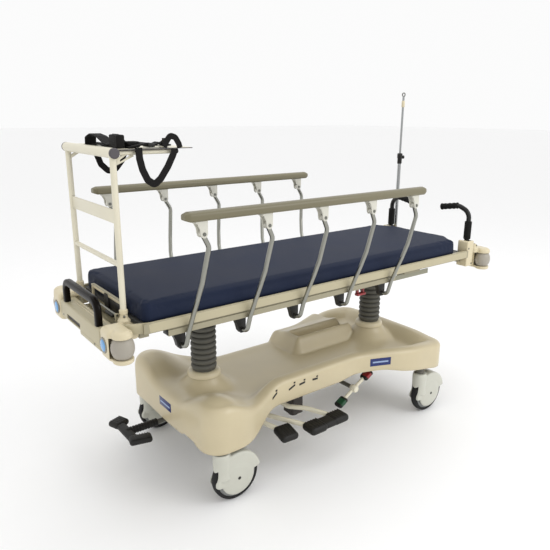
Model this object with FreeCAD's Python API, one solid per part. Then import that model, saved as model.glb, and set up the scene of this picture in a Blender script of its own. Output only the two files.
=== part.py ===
"""Hospital stretcher trolley: a tilting litter on two hydraulic columns, on casters under a base cover.

Millimetres. The origin is on the floor under the middle of the trolley. +X runs to the head end, where
the push handles are, +Y to the right hand of someone lying on the back, and +Z is up. Each piece of the
trolley is written as its own STEP file.
"""
import FreeCAD
import Part
import os
from math import cos, sin, radians, sqrt

V = FreeCAD.Vector
X_AXIS = V(1, 0, 0)
Y_AXIS = V(0, 1, 0)
Z_AXIS = V(0, 0, 1)
ENDS = (-1, 1)
SIDES = {"near": -1, "far": 1}

# ---- driving dimensions --------------------------------------------------------------------------
RUN = 0.05                 # radial running clearance of a shaft in its bore
FLOOR_Z = 16.0             # height of the floor in the drawing heights below; every piece is lowered by it

# casters
WHEEL_R = 100.0
AXLE_Z = FLOOR_Z + WHEEL_R
WHEEL_W = 32.0
WHEEL_AXLE_R = 8.0
HUB_R = 82.0
TRAIL = 60.0               # caster axle behind the swivel axis
HOOD_R = 106.0
STEM_R = 34.0
CASTER_X = {"foot": -660.0, "head": 510.0}
CASTER_Y = 330.0
SWIVEL_R = 14.0
SOCKET_R = 22.0
SOCKET_Z = (252.0, 302.0)

# base
FRAME_Z = (262.0, 302.0)
CHASSIS_X = (-690.0, 540.0)
CHASSIS_Y = (95.0, 135.0)  # inner and outer face of each long member
CROSS_W = 50.0
PLATE_T = 8.0
COLUMN_X = {"foot": -535.0, "head": 475.0}
CYLINDER_R = 40.0
CYLINDER_Z = (140.0, 412.0)
ROD_R = 24.0
ROD_FOOT_Z = 370.0
ROD_CAP_Z = (683.0, 691.0)
ROD_CAP_R = 52.0
PIN_Z = 722.0
PIN_R = 8.0
BELLOWS_Z = (430.0, 682.5)
BELLOWS_R = 55.0
BELLOWS_FOLDS = 9
BELLOWS_BORE = CYLINDER_R + 3
SHROUD_X = (-722.0, 668.0)
SHROUD_Y = (362.0, 252.0)  # half width over the casters and at the waist
SHROUD_CORNER_R = 80.0
SHROUD_SKIN = 5.0
SHROUD_EDGE_Z = 288.0      # lower edge along the sides
SHROUD_SKIRT_Z = 236.0     # lower edge round the casters
SHROUD_RIM_Z = 370.0
SHROUD_END_RISE = 14.0
SHROUD_FLOOR_Z = 328.0
SHROUD_CORNER_Z = 424.0    # top of the raised foot corners
MOUND_Z = 414.0
BIN_X = (-20.0, 400.0)
BIN_Y = (60.0, 225.0)
BIN_TOP_Z = 405.0

# litter
RAIL_Y = (253.5, 283.0, 293.5)     # inner face, ledge edge and outer face of the side member
RAIL_Z = (738.5, 793.5, 801.0)     # underside, ledge and lip
LITTER_X = (-925.8, 878.0)
TUBE_X = (-837.0, 322.0)   # stretch where each side member has its lower half
DECK_T = 12.0
RETAINER_X = -931.0        # mattress retainer bow at the foot
RETAINER_Y = 150.0
RETAINER_Z = 838.0
HINGE_X = 120.0            # backrest hinge
HINGE_Z = 782.0
HINGE_R = 5.0
BACKREST_TILT = 70.0
MATTRESS_X = (-918.0, 845.0)
MATTRESS_Y = 280.0
MATTRESS_Z = (794.3, 867.0)
FOOT_CUT = (14.0, 24.0)    # chamfered mattress corners at each end, along X and Y
HEAD_CUT = (66.0, 98.0)

# corner bumpers
BUMPER_X = 1005.0
BUMPER_Y = 298.0
BUMPER_R = 39.0
BUMPER_Z = (707.0, 777.0)
HOUSING_Z = (689.0, 803.0)
END_X = 1050.0
LENS_Y = 243.0
LENS_Z = 742.0
LENS_R = 27.0

# foot beam and push bar
BEAM_X = (-1046.0, -985.0)
BEAM_Y = 205.5
BEAM_Z = (716.0, 783.0)
PUSH_BAR_X = -1030.0
PUSH_BAR_Y = 163.0
PUSH_BAR_TOP_Z = 866.0
PUSH_BAR_R = 13.0

# side rails
POST_R = 8.5
POST_PIN_R = 4.0
POST_PITCH = 260.6
POST_COUNT = 5
POST_FOOT_X = -771.0
POST_FOOT_Z = 682.0
POST_TOP_Z = 1104.0
POST_TOP_Y = 393.0
POST_TOP_DX = 20.0         # the top pivot's offset from the bottom one
RAIL_BAR_X = (-818.0, 352.0)
RAIL_BAR_Z = (1148.0, 1180.0)
RAIL_BAR_W = 45.0

# monitor frame
MONITOR_X = -960.0
MONITOR_Y = 212.5
MONITOR_TOP_Z = 1355.0
MONITOR_POST_R = 10.5
SHELF_LIFT = 8.2           # shelf underside above the middle of the top tube
SHELF_T = 2.5
SOCKET_TOP_Z = 826.0

# push handles and pole
HANDLE_X = 905.0
HANDLE_Y = 259.0
HANDLE_Z = 795.0
HANDLE_PIN_R = 6.0
POLE_X = 955.0
POLE_Y = 268.0
POLE_R = 9.5
POLE_ROD_R = 6.0
POLE_LOCK_Z = 1240.0
POLE_TOP_Z = 1598.0

# backrest release
LEVER_AXIS = (-247.0, 726.0)       # Y and Z of its pin
LEVER_LEGS_X = (116.0, 150.0)
LEVER_PIN_R = 3.0

# foot controls
PEDAL_AXIS = (-130.0, 235.0)       # Y and Z of the pedal shaft on the near side
PEDAL_SHAFT_R = 9.0
PEDAL_ARM_R = 9.0
PEDAL_BARREL_R = 15.0
PEDAL_BARREL_L = 28.0
GUSSET_X = -186.0                  # plate at the head end of the pedal shaft
BRAKE_X = 140.0
BRAKE_Z = 222.0
BRAKE_R = 10.0
FORK_Y = 238.0
FORK_SLOPE = 30.0                  # degrees from level to the upper, brake, pad
END_PEDAL_Y = 70.0
END_PEDAL_Z = 205.0


# ---- shape helpers -------------------------------------------------------------------------------
def box(x, y, z):
    """Block between the two X, two Y and two Z values."""
    low = V(min(x), min(y), min(z))
    return Part.makeBox(abs(x[1] - x[0]), abs(y[1] - y[0]), abs(z[1] - z[0]), low)


def rod(start, end, radius):
    """Solid round bar from one point to another."""
    a, b = V(*start), V(*end)
    return Part.makeCylinder(radius, (b - a).Length, a, b - a)


def tube(start, end, outer, inner):
    """Round tube from one point to another."""
    return rod(start, end, outer).cut(rod(start, end, inner))


def fuse(shapes):
    """Touching or overlapping shapes joined; shapes that stand apart stay apart."""
    shapes = list(shapes)
    joined = shapes[0].multiFuse(shapes[1:]) if len(shapes) > 1 else shapes[0]
    return joined.removeSplitter()


def group(shapes):
    """Separate solids kept side by side."""
    return Part.makeCompound([solid for shape in shapes for solid in shape.Solids])


def across(shape):
    """Copy on the other side of the trolley."""
    return shape.mirror(V(0, 0, 0), Y_AXIS)


def to_side(shape, side):
    """The shape is drawn on the far side, +Y."""
    return shape if SIDES[side] > 0 else across(shape)


def to_end(shape, end):
    """The shape is drawn at the head end, +X."""
    return shape if end > 0 else shape.mirror(V(0, 0, 0), X_AXIS)


def prism(points, direction):
    """Flat polygon pushed along a direction."""
    corners = [V(*p) for p in points]
    return Part.Face(Part.makePolygon(corners + corners[:1])).extrude(V(*direction))


def lathe(profile, centre, axis="z"):
    """Solid of revolution: profile is (radius, height) pairs about an axis through centre."""
    points = [V(r, 0, h) for r, h in profile]
    shape = Part.Face(Part.makePolygon(points + points[:1])).revolve(V(0, 0, 0), Z_AXIS, 360)
    if axis == "y":
        shape.rotate(V(0, 0, 0), X_AXIS, -90)
    if axis == "x":
        shape.rotate(V(0, 0, 0), Y_AXIS, 90)
    shape.translate(V(*centre))
    return shape


def bent_path(points, radius):
    """Wire of straight runs joined by tangent arcs."""
    points = [V(*p) for p in points]
    edges = []
    last = points[0]
    for before, corner, after in zip(points, points[1:], points[2:]):
        back = (before - corner).normalize()
        ahead = (after - corner).normalize()
        half = back.getAngle(ahead) / 2
        reach = radius * cos(half) / sin(half)
        reach = min(reach, 0.48 * (before - corner).Length, 0.48 * (after - corner).Length)
        r = reach * sin(half) / cos(half)
        start = corner + back * reach
        end = corner + ahead * reach
        middle_way = (back + ahead).normalize()
        centre = corner + middle_way * (r / sin(half))
        middle = centre - middle_way * r
        edges.append(Part.LineSegment(last, start).toShape())
        edges.append(Part.Arc(start, middle, end).toShape())
        last = end
    edges.append(Part.LineSegment(last, points[-1]).toShape())
    return Part.Wire(edges)


def bent_rod(points, bend_radius, radius):
    """Round bar along a bent path."""
    path = bent_path(points, bend_radius)
    start = V(*points[0])
    direction = V(*points[1]) - start
    ring = Part.Wire(Part.makeCircle(radius, start, direction))
    return path.makePipeShell([ring], True, False)


def rounded_slab(x, y, z, radius):
    """Block with rounded vertical corners."""
    block = box(x, y, z)
    upright = [e for e in block.Edges if abs(e.tangentAt(e.FirstParameter).z) > 0.99]
    return block.makeFillet(radius, upright)


def write(name, shape):
    """One STEP file for one node, with every solid closed."""
    for solid in shape.Solids:
        if not solid.isValid() or solid.Volume <= 0:
            raise RuntimeError(name + " has a bad solid")
    if not shape.Solids:
        raise RuntimeError(name + " has no solid")
    if len(shape.Solids) == 1:
        shape = shape.Solids[0]
    shape.translated(V(0, 0, -FLOOR_Z)).exportStep("parts/" + name + ".step")


# ---- base ----------------------------------------------------------------------------------------
def base_frame():
    """Welded chassis: two long members, two cross members, caster sockets and column plates."""
    low, high = FRAME_Z
    inner, outer = CHASSIS_Y
    pieces = [box(CHASSIS_X, (s * inner, s * outer), FRAME_Z) for s in ENDS]
    for x in CASTER_X.values():
        pieces.append(box((x - CROSS_W / 2, x + CROSS_W / 2), (-CASTER_Y, CASTER_Y), FRAME_Z))
        for y in (-CASTER_Y, CASTER_Y):
            pieces.append(rod((x, y, SOCKET_Z[0]), (x, y, SOCKET_Z[1]), SOCKET_R))
    for x in COLUMN_X.values():
        pieces.append(box((x - 90, x + 90), (-110, 110), (high, high + PLATE_T)))
    for s in ENDS:
        hanger_y = (s * (inner + 1), s * (inner + 1 + PLATE_T))
        pieces.append(box((BRAKE_X - 18, BRAKE_X + 18), hanger_y, (BRAKE_Z - 18, low)))
        gusset = [(GUSSET_X, s * 100, low), (GUSSET_X, s * 215, low), (GUSSET_X, s * 110, 212)]
        pieces.append(prism(gusset, (PLATE_T, 0, 0)))
    for x in (CHASSIS_X[0], CHASSIS_X[0] + 90):
        hanger_z = (END_PEDAL_Z - 14, low)
        pieces.append(box((x, x + PLATE_T), (END_PEDAL_Y - 16, END_PEDAL_Y + 26), hanger_z))
    frame = fuse(pieces)
    for x in CASTER_X.values():
        for s in ENDS:
            socket = (x, s * CASTER_Y, SOCKET_Z[0] - 1), (x, s * CASTER_Y, SOCKET_Z[1] - 6)
            frame = frame.cut(rod(*socket, SWIVEL_R + RUN))
    for x in COLUMN_X.values():
        frame = frame.cut(rod((x, 0, 200), (x, 0, high + 20), CYLINDER_R + 0.3))
    frame = frame.cut(rod((BRAKE_X, -200, BRAKE_Z), (BRAKE_X, 200, BRAKE_Z), BRAKE_R + RUN))
    end_bore = (-700, END_PEDAL_Y, END_PEDAL_Z), (-580, END_PEDAL_Y, END_PEDAL_Z)
    return frame.cut(rod(*end_bore, BRAKE_R + RUN))


def shroud_outline(inset, z):
    """Dog-bone plan of the base cover as a closed wire: wide over the casters, drawn in along the sides."""
    foot_x, head_x = SHROUD_X[0] + inset, SHROUD_X[1] - inset
    wide_y, waist_y = SHROUD_Y[0] - inset, SHROUD_Y[1] - inset
    corner = SHROUD_CORNER_R - inset
    foot_in, head_in = -600, 480          # where the wide ends stop
    foot_waist, head_waist = -300, 90     # where the waist is fully drawn in
    edges = []

    def line(a, b):
        edges.append(Part.LineSegment(V(a[0], a[1], z), V(b[0], b[1], z)).toShape())

    def arc(a, mid, b):
        edges.append(Part.Arc(V(a[0], a[1], z), V(mid[0], mid[1], z), V(b[0], b[1], z)).toShape())

    def sweep_in(a, b):
        """S-curve between two points with tangents along X."""
        step = V(b[0] - a[0], b[1] - a[1], 0)
        curve = Part.BezierCurve()
        hold = V(step.x * 0.5, 0, 0)
        start, end = V(a[0], a[1], z), V(b[0], b[1], z)
        curve.setPoles([start, start + hold, end - hold, end])
        edges.append(curve.toShape())

    nick = corner * (1 - sqrt(0.5))
    line((foot_x, -wide_y + corner), (foot_x, wide_y - corner))
    arc((foot_x, wide_y - corner), (foot_x + nick, wide_y - nick), (foot_x + corner, wide_y))
    line((foot_x + corner, wide_y), (foot_in, wide_y))
    sweep_in((foot_in, wide_y), (foot_waist, waist_y))
    line((foot_waist, waist_y), (head_waist, waist_y))
    sweep_in((head_waist, waist_y), (head_in, wide_y))
    line((head_in, wide_y), (head_x - corner, wide_y))
    arc((head_x - corner, wide_y), (head_x - nick, wide_y - nick), (head_x, wide_y - corner))
    line((head_x, wide_y - corner), (head_x, -wide_y + corner))
    arc((head_x, -wide_y + corner), (head_x - nick, -wide_y + nick), (head_x - corner, -wide_y))
    line((head_x - corner, -wide_y), (head_in, -wide_y))
    sweep_in((head_in, -wide_y), (head_waist, -waist_y))
    line((head_waist, -waist_y), (foot_waist, -waist_y))
    sweep_in((foot_waist, -waist_y), (foot_in, -wide_y))
    line((foot_in, -wide_y), (foot_x + corner, -wide_y))
    arc((foot_x + corner, -wide_y), (foot_x + nick, -wide_y + nick), (foot_x, -wide_y + corner))
    return Part.Wire(Part.__sortEdges__(edges))


def shroud_block(inset, low, high):
    """Slab of the dog-bone plan."""
    return Part.Face(shroud_outline(inset, low)).extrude(V(0, 0, high - low))


def shroud_mounds():
    """Raised foot corners, mounds round the columns and the block that holds the storage bin."""
    mounds = []
    for s in ENDS:
        mounds.append(rounded_slab((-700, -545), (s * 140, s * 340), (SHROUD_FLOOR_Z, SHROUD_CORNER_Z), 55))
    for x in COLUMN_X.values():
        profile = [(0, 330), (125, 330), (112, 384), (78, MOUND_Z), (0, MOUND_Z)]
        mounds.append(lathe(profile, (x, 0, 0)))
    mounds.append(rounded_slab(BIN_X, BIN_Y, (320, BIN_TOP_Z), 30))
    return mounds


def base_shroud():
    """Moulded cover: a rimmed tray between raised ends, with column mounds and a bin on one side."""
    rise = shroud_block(14, SHROUD_RIM_Z, SHROUD_RIM_Z + SHROUD_END_RISE)
    outside = [shroud_block(0, SHROUD_SKIRT_Z, SHROUD_RIM_Z)]
    outside += [rise.common(box(x, (-400, 400), (300, 500))) for x in ((-760, -400), (330, 760))]
    cover = fuse(outside)
    tray = shroud_block(34, SHROUD_FLOOR_Z, 500).common(box((-420, 360), (-300, 300), (300, 500)))
    cover = fuse([cover.cut(tray)] + shroud_mounds())
    cover = cover.cut(shroud_block(SHROUD_SKIN, SHROUD_SKIRT_Z - 10, SHROUD_FLOOR_Z - SHROUD_SKIN))
    for x in COLUMN_X.values():
        cover = cover.cut(rod((x, 0, 300), (x, 0, 440), CYLINDER_R + 0.5))
    bin_hollow = rounded_slab((BIN_X[0] + 30, BIN_X[1] - 30), (BIN_Y[0] + 50, BIN_Y[1] - 30), (345, 420), 25)
    cover = cover.cut(bin_hollow)
    arch = box((-430, 300), (-400, 400), (SHROUD_SKIRT_Z - 20, SHROUD_EDGE_Z))
    cover = cover.cut(arch)
    foot_notch = box((-740, -700), (-250, -130), (SHROUD_SKIRT_Z - 20, SHROUD_SKIRT_Z + 25))
    return cover.cut(foot_notch)


def lift_cylinders():
    """Closed outer barrels of the two hydraulic columns."""
    barrels = []
    for x in COLUMN_X.values():
        low, high = CYLINDER_Z
        barrel = rod((x, 0, low), (x, 0, high), CYLINDER_R)
        barrels.append(barrel.cut(rod((x, 0, low + 8), (x, 0, high + 1), ROD_R + RUN)))
    return group(barrels)


def column_collars():
    """Clamp rings that hold the foot of each bellows on its mound."""
    bore, low, high = CYLINDER_R + 0.3, MOUND_Z, BELLOWS_Z[0]
    profile = [(bore, low), (68, low), (64, low + 7), (59, high), (bore, high)]
    return group([lathe(profile, (x, 0, 0)) for x in COLUMN_X.values()])


def bellows(x):
    """Pleated rubber sleeve over the column."""
    low, high = BELLOWS_Z
    pitch = (high - low) / BELLOWS_FOLDS
    profile = [(BELLOWS_BORE, low), (BELLOWS_R - 6, low)]
    for fold in range(BELLOWS_FOLDS):
        z = low + fold * pitch
        profile += [(BELLOWS_R, z + pitch * 0.3), (BELLOWS_R, z + pitch * 0.7)]
        if fold < BELLOWS_FOLDS - 1:
            profile.append((BELLOWS_R - 9, z + pitch))
    profile += [(BELLOWS_R - 6, high), (BELLOWS_BORE, high)]
    return lathe(profile, (x, 0, 0))


def pump_unit():
    """Hydraulic pumps under the base, with the pedal shaft and its hangers on each side."""
    axis_y, axis_z = PEDAL_AXIS
    top = FRAME_Z[0] - 0.5
    pieces = []
    for s in ENDS:
        pieces.append(rounded_slab((-176, -112), (s * 95, s * 165), (150, top), 8))
        pieces.append(rod((-144, s * 130, 138), (-144, s * 130, 152), 22))
        pieces.append(rod((-440, s * axis_y, axis_z), (GUSSET_X - 0.5, s * axis_y, axis_z), PEDAL_SHAFT_R))
        for x in (-438, -292):
            pieces.append(box((x, x + 6), (s * 98, s * 150), (axis_z - 14, top)))
    return fuse(pieces)


# ---- foot controls -------------------------------------------------------------------------------
def pedal(side, arms, pad):
    """Pedal on bent tube arms with barrels round the pedal shaft; drawn on the near side, -Y."""
    axis_y, axis_z = PEDAL_AXIS
    pieces = [bent_rod(points, 40, PEDAL_ARM_R) for points in arms]
    bores = []
    for points in arms:
        x = points[0][0]
        half = PEDAL_BARREL_L / 2
        pieces.append(rod((x - half, axis_y, axis_z), (x + half, axis_y, axis_z), PEDAL_BARREL_R))
        bores.append(rod((x - half - 1, axis_y, axis_z), (x + half + 1, axis_y, axis_z), PEDAL_SHAFT_R + RUN))
    body = fuse(pieces)
    for bore in bores:
        body = body.cut(bore)
    body = fuse([body, pad])
    return body if side == "near" else across(body)


def raise_pedal(side):
    """Single pad pedal that pumps the litter up."""
    arm = [(-400, -130, 235), (-392, -185, 226), (-372, -232, 208), (-335, -300, 192)]
    pad = rounded_slab((-372, -290), (-352, -272), (176, 202), 18)
    return pedal(side, [arm], pad)


def lower_pedal(side):
    """Wide two-lobe pedal on two arms that lets either column or both down."""
    left = [(-352, -130, 235), (-335, -172, 214), (-292, -232, 206), (-222, -345, 198)]
    right = [(-232, -130, 235), (-212, -168, 212), (-150, -232, 210), (-86, -340, 198)]
    lobes = [rounded_slab((-255, -175), (-398, -322), (184, 212), 24)]
    lobes.append(rounded_slab((-118, -38), (-394, -318), (184, 212), 24))
    lobes.append(box((-215, -80), (-388, -330), (184, 212)))
    return pedal(side, [left, right], fuse(lobes))


def brake_shaft():
    """Cross shaft with a rocking two-pad fork at each side."""
    pieces = [rod((BRAKE_X, -230, BRAKE_Z), (BRAKE_X, 230, BRAKE_Z), BRAKE_R)]
    slope = radians(FORK_SLOPE)
    for s in ENDS:
        fork_y = s * FORK_Y
        ends = []
        for reach in (-66, 66):
            ends.append((BRAKE_X + reach * cos(slope), fork_y, BRAKE_Z + reach * sin(slope)))
        pieces.append(rod(ends[0], ends[1], 8))
        pieces.append(rod((BRAKE_X, s * 218, BRAKE_Z), (BRAKE_X, s * 250, BRAKE_Z), 16))
    return fuse(pieces)


def brake_pads():
    """Foot pads on the fork ends: the lower, steer, end and the upper, brake, end on each side."""
    slope = radians(FORK_SLOPE)
    pads = []
    for s in ENDS:
        for reach in (-94, 94):
            x = BRAKE_X + reach * cos(slope)
            z = BRAKE_Z + reach * sin(slope)
            pad = rounded_slab((x - 27, x + 27), (s * (FORK_Y - 22), s * (FORK_Y + 24)), (z - 11, z + 11), 14)
            pad.rotate(V(x, 0, z), Y_AXIS, -FORK_SLOPE)
            pads.append(pad)
    return group(pads)


def end_pedal():
    """Rocking pedal across the foot end, on a shaft along X."""
    y, z = END_PEDAL_Y, END_PEDAL_Z
    pieces = [rod((-868, y, z), (-560, y, z), BRAKE_R)]
    pieces.append(rod((-870, y, z), (-735, y, z), 15))
    pieces.append(rounded_slab((-890, -846), (y - 92, y + 92), (z - 10, z + 12), 14))
    for s in ENDS:
        pieces.append(rounded_slab((-905, -800), (y + s * 92 - 26, y + s * 92 + 26), (z - 12, z + 14), 12))
    return fuse(pieces)


# ---- casters -------------------------------------------------------------------------------------
def caster_hood(x, y):
    """Swivel fork under a smooth plastic hood, trailing towards the head end."""
    axle_x = x + TRAIL
    half = WHEEL_W / 2
    hood = fuse([
        rod((x, y, AXLE_Z + 4), (x, y, AXLE_Z + 116), STEM_R),
        rod((axle_x, y - STEM_R, AXLE_Z), (axle_x, y + STEM_R, AXLE_Z), HOOD_R).common(
            box((x - STEM_R, axle_x + HOOD_R), (y - STEM_R, y + STEM_R), (AXLE_Z + 22, AXLE_Z + 120))),
        rod((axle_x, y - 30, AXLE_Z), (axle_x, y + 30, AXLE_Z), 82),
    ])
    wheel_room = rod((axle_x, y - half - 3, AXLE_Z), (axle_x, y + half + 3, AXLE_Z), WHEEL_R + 3)
    hood = hood.cut(wheel_room)
    stem = rod((x, y, AXLE_Z + 109), (x, y, SOCKET_Z[1] - 8), SWIVEL_R)
    axle = rod((axle_x, y - 32, AXLE_Z), (axle_x, y + 32, AXLE_Z), WHEEL_AXLE_R)
    return fuse([hood, stem, axle])


def caster_wheel(x, y):
    """Hub disc and tyre on the axle, as two solids."""
    axle_x = x + TRAIL
    half = WHEEL_W / 2
    bore, rim = WHEEL_AXLE_R + RUN, HUB_R
    hub = lathe([(bore, -half - 1), (rim - 8, -half - 1), (rim, -half + 3), (rim, half - 3),
                 (rim - 8, half + 1), (bore, half + 1)], (axle_x, y, AXLE_Z), "y")
    tyre = lathe([(rim, -half), (WHEEL_R - 5, -half), (WHEEL_R, -half + 7), (WHEEL_R, half - 7),
                  (WHEEL_R - 5, half), (rim, half)], (axle_x, y, AXLE_Z), "y")
    return group([hub, tyre])


# ---- lift ----------------------------------------------------------------------------------------
def lift_rod(x):
    """Ram of one column: rod, cap under the litter and the eye for the tilt pin."""
    pieces = [rod((x, 0, ROD_FOOT_Z), (x, 0, ROD_CAP_Z[1]), ROD_R)]
    pieces.append(rod((x, 0, ROD_CAP_Z[0]), (x, 0, ROD_CAP_Z[1]), ROD_CAP_R))
    pieces.append(box((x - 13, x + 13), (-12, 12), (ROD_CAP_Z[1], PIN_Z)))
    pieces.append(rod((x, -12, PIN_Z), (x, 12, PIN_Z), 14))
    return fuse(pieces).cut(rod((x, -20, PIN_Z), (x, 20, PIN_Z), PIN_R + RUN))


def tilt_pin(x):
    """Headed pin through a rod eye and the litter's ears."""
    pin = rod((x, -26, PIN_Z), (x, 26, PIN_Z), PIN_R)
    heads = [rod((x, s * 24, PIN_Z), (x, s * 30, PIN_Z), 12) for s in ENDS]
    return fuse([pin] + heads)


# ---- litter --------------------------------------------------------------------------------------
def side_member(s):
    """Side extrusion: a ledge for the deck, a lip for the mattress and a groove along its outer face."""
    inner, ledge, outer = RAIL_Y
    low, mid, high = RAIL_Z
    profile = [(inner, low), (outer, low), (outer, 760), (outer - 4, 761), (outer - 4, 765), (outer, 766),
               (outer, high), (ledge + 0.4, high), (ledge + 0.4, mid), (inner, mid)]
    points = [(LITTER_X[0], s * y, z) for y, z in profile]
    member = prism(points, (LITTER_X[1] - LITTER_X[0], 0, 0))
    for x in ((LITTER_X[0] - 1, TUBE_X[0]), (TUBE_X[1], LITTER_X[1] + 1)):
        member = member.cut(box(x, (s * 240, s * 300), (low - 1, 763)))
    return member


def column_ears(x, slot):
    """Pair of ears under a cross member; the head pair has a slot that lets the pin run along X."""
    ears = []
    for s in ENDS:
        reach = 18 if not slot else 52
        ear = box((x - 18, x + reach), (s * 13, s * 22), (706, 745))
        if slot:
            ear = ear.cut(box((x - 12, x + 38), (s * 10, s * 25), (PIN_Z - 12.5, PIN_Z + 12.5)))
        else:
            ear = ear.cut(rod((x, s * 10, PIN_Z), (x, s * 25, PIN_Z), PIN_R + RUN))
        ears.append(ear)
    return ears


def litter_frame():
    """Perimeter frame of the litter with cross members, column ears, hinge rod and mattress retainer."""
    low, mid = RAIL_Z[:2]
    inner = RAIL_Y[0] + 1
    pieces = [side_member(s) for s in ENDS]
    foot_x, head_x = LITTER_X
    cross_members = [(foot_x, foot_x + 34), (-575, -495), (80, 108), (430, 545), (head_x - 30, head_x - 8)]
    for x in cross_members:
        pieces.append(box(x, (-inner, inner), (low + 1, mid - DECK_T - 2)))
    pieces += column_ears(COLUMN_X["foot"], False)
    pieces += column_ears(COLUMN_X["head"], True)
    pieces.append(rod((HINGE_X, -212, HINGE_Z), (HINGE_X, 212, HINGE_Z), HINGE_R))
    for y in (-215, -105, 95, 205):
        pieces.append(box((100, HINGE_X + 7), (y, y + 10), (745, HINGE_Z + 6)))
    x, y, z_top = RETAINER_X, RETAINER_Y, RETAINER_Z
    retainer = [(x, -y, 755), (x, -y, z_top), (x, y, z_top), (x, y, 755)]
    for s in ENDS:
        pieces.append(box((x - 7, foot_x + 5), (s * (y + 10), s * (y - 10)), (745, 770)))
    pieces.append(bent_rod(retainer, 12, 5))
    pieces.append(lever_bracket())
    return fuse(pieces)


def deck_panel():
    """Fixed deck sheet under the foot and seat."""
    x = (LITTER_X[0] + 2, HINGE_X - 24)
    top = RAIL_Z[1]
    half_sheet, half_core = MATTRESS_Y - 3, RAIL_Y[0] - 1
    sheet = rounded_slab(x, (-half_sheet, half_sheet), (top + 0.1, top + 0.6), 4)
    core = rounded_slab(x, (-half_core, half_core), (top - DECK_T, top + 0.6), 4)
    return fuse([sheet, core])


def backrest_panel():
    """Hinged head section of the deck with barrels round the hinge rod."""
    top = RAIL_Z[1]
    sheet = rounded_slab((136, 866), (-RAIL_Y[0] + 3, RAIL_Y[0] - 3), (top - DECK_T, top), 6)
    pieces = [sheet]
    for y in (-202, 108):
        pieces.append(rod((HINGE_X, y, HINGE_Z), (HINGE_X, y + 94, HINGE_Z), 10))
        pieces.append(box((HINGE_X, 140), (y, y + 94), (top - DECK_T, top - 3)))
    for y in (-180, 150):
        for x in ((150, 425), (550, 840)):
            pieces.append(box(x, (y, y + 30), (765, top - DECK_T + 1)))
    return fuse(pieces).cut(rod((HINGE_X, -230, HINGE_Z), (HINGE_X, 230, HINGE_Z), HINGE_R + RUN))


def mattress_plan(x0, x1, cut_foot, cut_head):
    """Plan corners of a mattress section, with the cut corners of the end it reaches."""
    y = MATTRESS_Y
    foot, head = [(x0, -y), (x0, y)], [(x1, y), (x1, -y)]
    if cut_foot:
        dx, dy = FOOT_CUT
        foot = [(x0 + dx, -y), (x0, -y + dy), (x0, y - dy), (x0 + dx, y)]
    if cut_head:
        dx, dy = HEAD_CUT
        head = [(x1 - dx, y), (x1, y - dy), (x1, -y + dy), (x1 - dx, -y)]
    return foot + head


def mattress_section(which):
    """Foam section; its hinge end is cut back by half the backrest angle so that it clears when raised."""
    low, high = MATTRESS_Z
    foot = which == "seat"
    x0, x1 = (MATTRESS_X[0], HINGE_X) if foot else (HINGE_X, MATTRESS_X[1])
    plan = [(x, y, low) for x, y in mattress_plan(x0, x1, foot, not foot)]
    slab = prism(plan, (0, 0, high - low))
    sign = -1 if foot else 1
    lean = sin(radians(BACKREST_TILT / 2)) / cos(radians(BACKREST_TILT / 2))
    near = HINGE_X + sign * ((low - HINGE_Z) * lean + 2)
    far = HINGE_X + sign * ((high - HINGE_Z) * lean + 2)
    wedge = [(near, -300, low - 0.1), (far, -300, high + 0.1), (HINGE_X - sign * 50, -300, high + 0.1),
             (HINGE_X - sign * 50, -300, low - 0.1)]
    return slab.cut(prism(wedge, (0, 600, 0)))


def corner_housing(end, side):
    """Moulded corner with a lip above and below the bumper roller, its axle, and a pole socket."""
    bottom, top = HOUSING_Z
    roll_low, roll_high = BUMPER_Z[0] - 1, BUMPER_Z[1] + 1
    pieces = [rounded_slab((926, END_X), (206, 296), (bottom, 790), 20)]
    pieces.append(rounded_slab((969, END_X), (206, 296), (bottom, top), 12))
    pieces.append(rod((BUMPER_X, BUMPER_Y, bottom), (BUMPER_X, BUMPER_Y, top), BUMPER_R + 3))
    body = fuse(pieces)
    body = body.cut(rod((BUMPER_X, BUMPER_Y, roll_low), (BUMPER_X, BUMPER_Y, roll_high), BUMPER_R + 4))
    axle = rod((BUMPER_X, BUMPER_Y, bottom), (BUMPER_X, BUMPER_Y, top), 6)
    if end > 0:
        post_x, post_y, bore, socket_r = POLE_X, POLE_Y, POLE_R + 0.5, 17
    else:
        post_x, post_y, bore, socket_r = -MONITOR_X, MONITOR_Y, MONITOR_POST_R + RUN, 13
    body = fuse([body, axle, rod((post_x, post_y, top - 30), (post_x, post_y, SOCKET_TOP_Z), socket_r)])
    body = body.cut(rod((post_x, post_y, 752), (post_x, post_y, SOCKET_TOP_Z + 1), bore))
    lens_seat = rod((END_X - 6, LENS_Y, LENS_Z), (END_X + 5, LENS_Y, LENS_Z), LENS_R + 0.3)
    return to_end(to_side(body.cut(lens_seat), side), end)


def corner_lenses():
    """Domed blue lenses set in the four end faces."""
    lenses = []
    profile = [(0, 0), (LENS_R, 0), (LENS_R, 6), (18, 9.5), (0, 11)]
    for end in ENDS:
        for side in SIDES:
            lens = lathe(profile, (END_X - 6, LENS_Y, LENS_Z), "x")
            lenses.append(to_end(to_side(lens, side), end))
    return group(lenses)


def bumper_roller(end, side):
    """Barrel-shaped corner roller with a vertical bore."""
    low, high = BUMPER_Z
    middle = (low + high) / 2
    profile = [(6 + RUN, low), (27, low), (34, low + 8), (38, low + 20), (BUMPER_R, middle - 6),
               (BUMPER_R, middle + 6), (38, high - 20), (34, high - 8), (27, high), (6 + RUN, high)]
    return to_end(to_side(lathe(profile, (BUMPER_X, BUMPER_Y, 0)), side), end)


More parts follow.
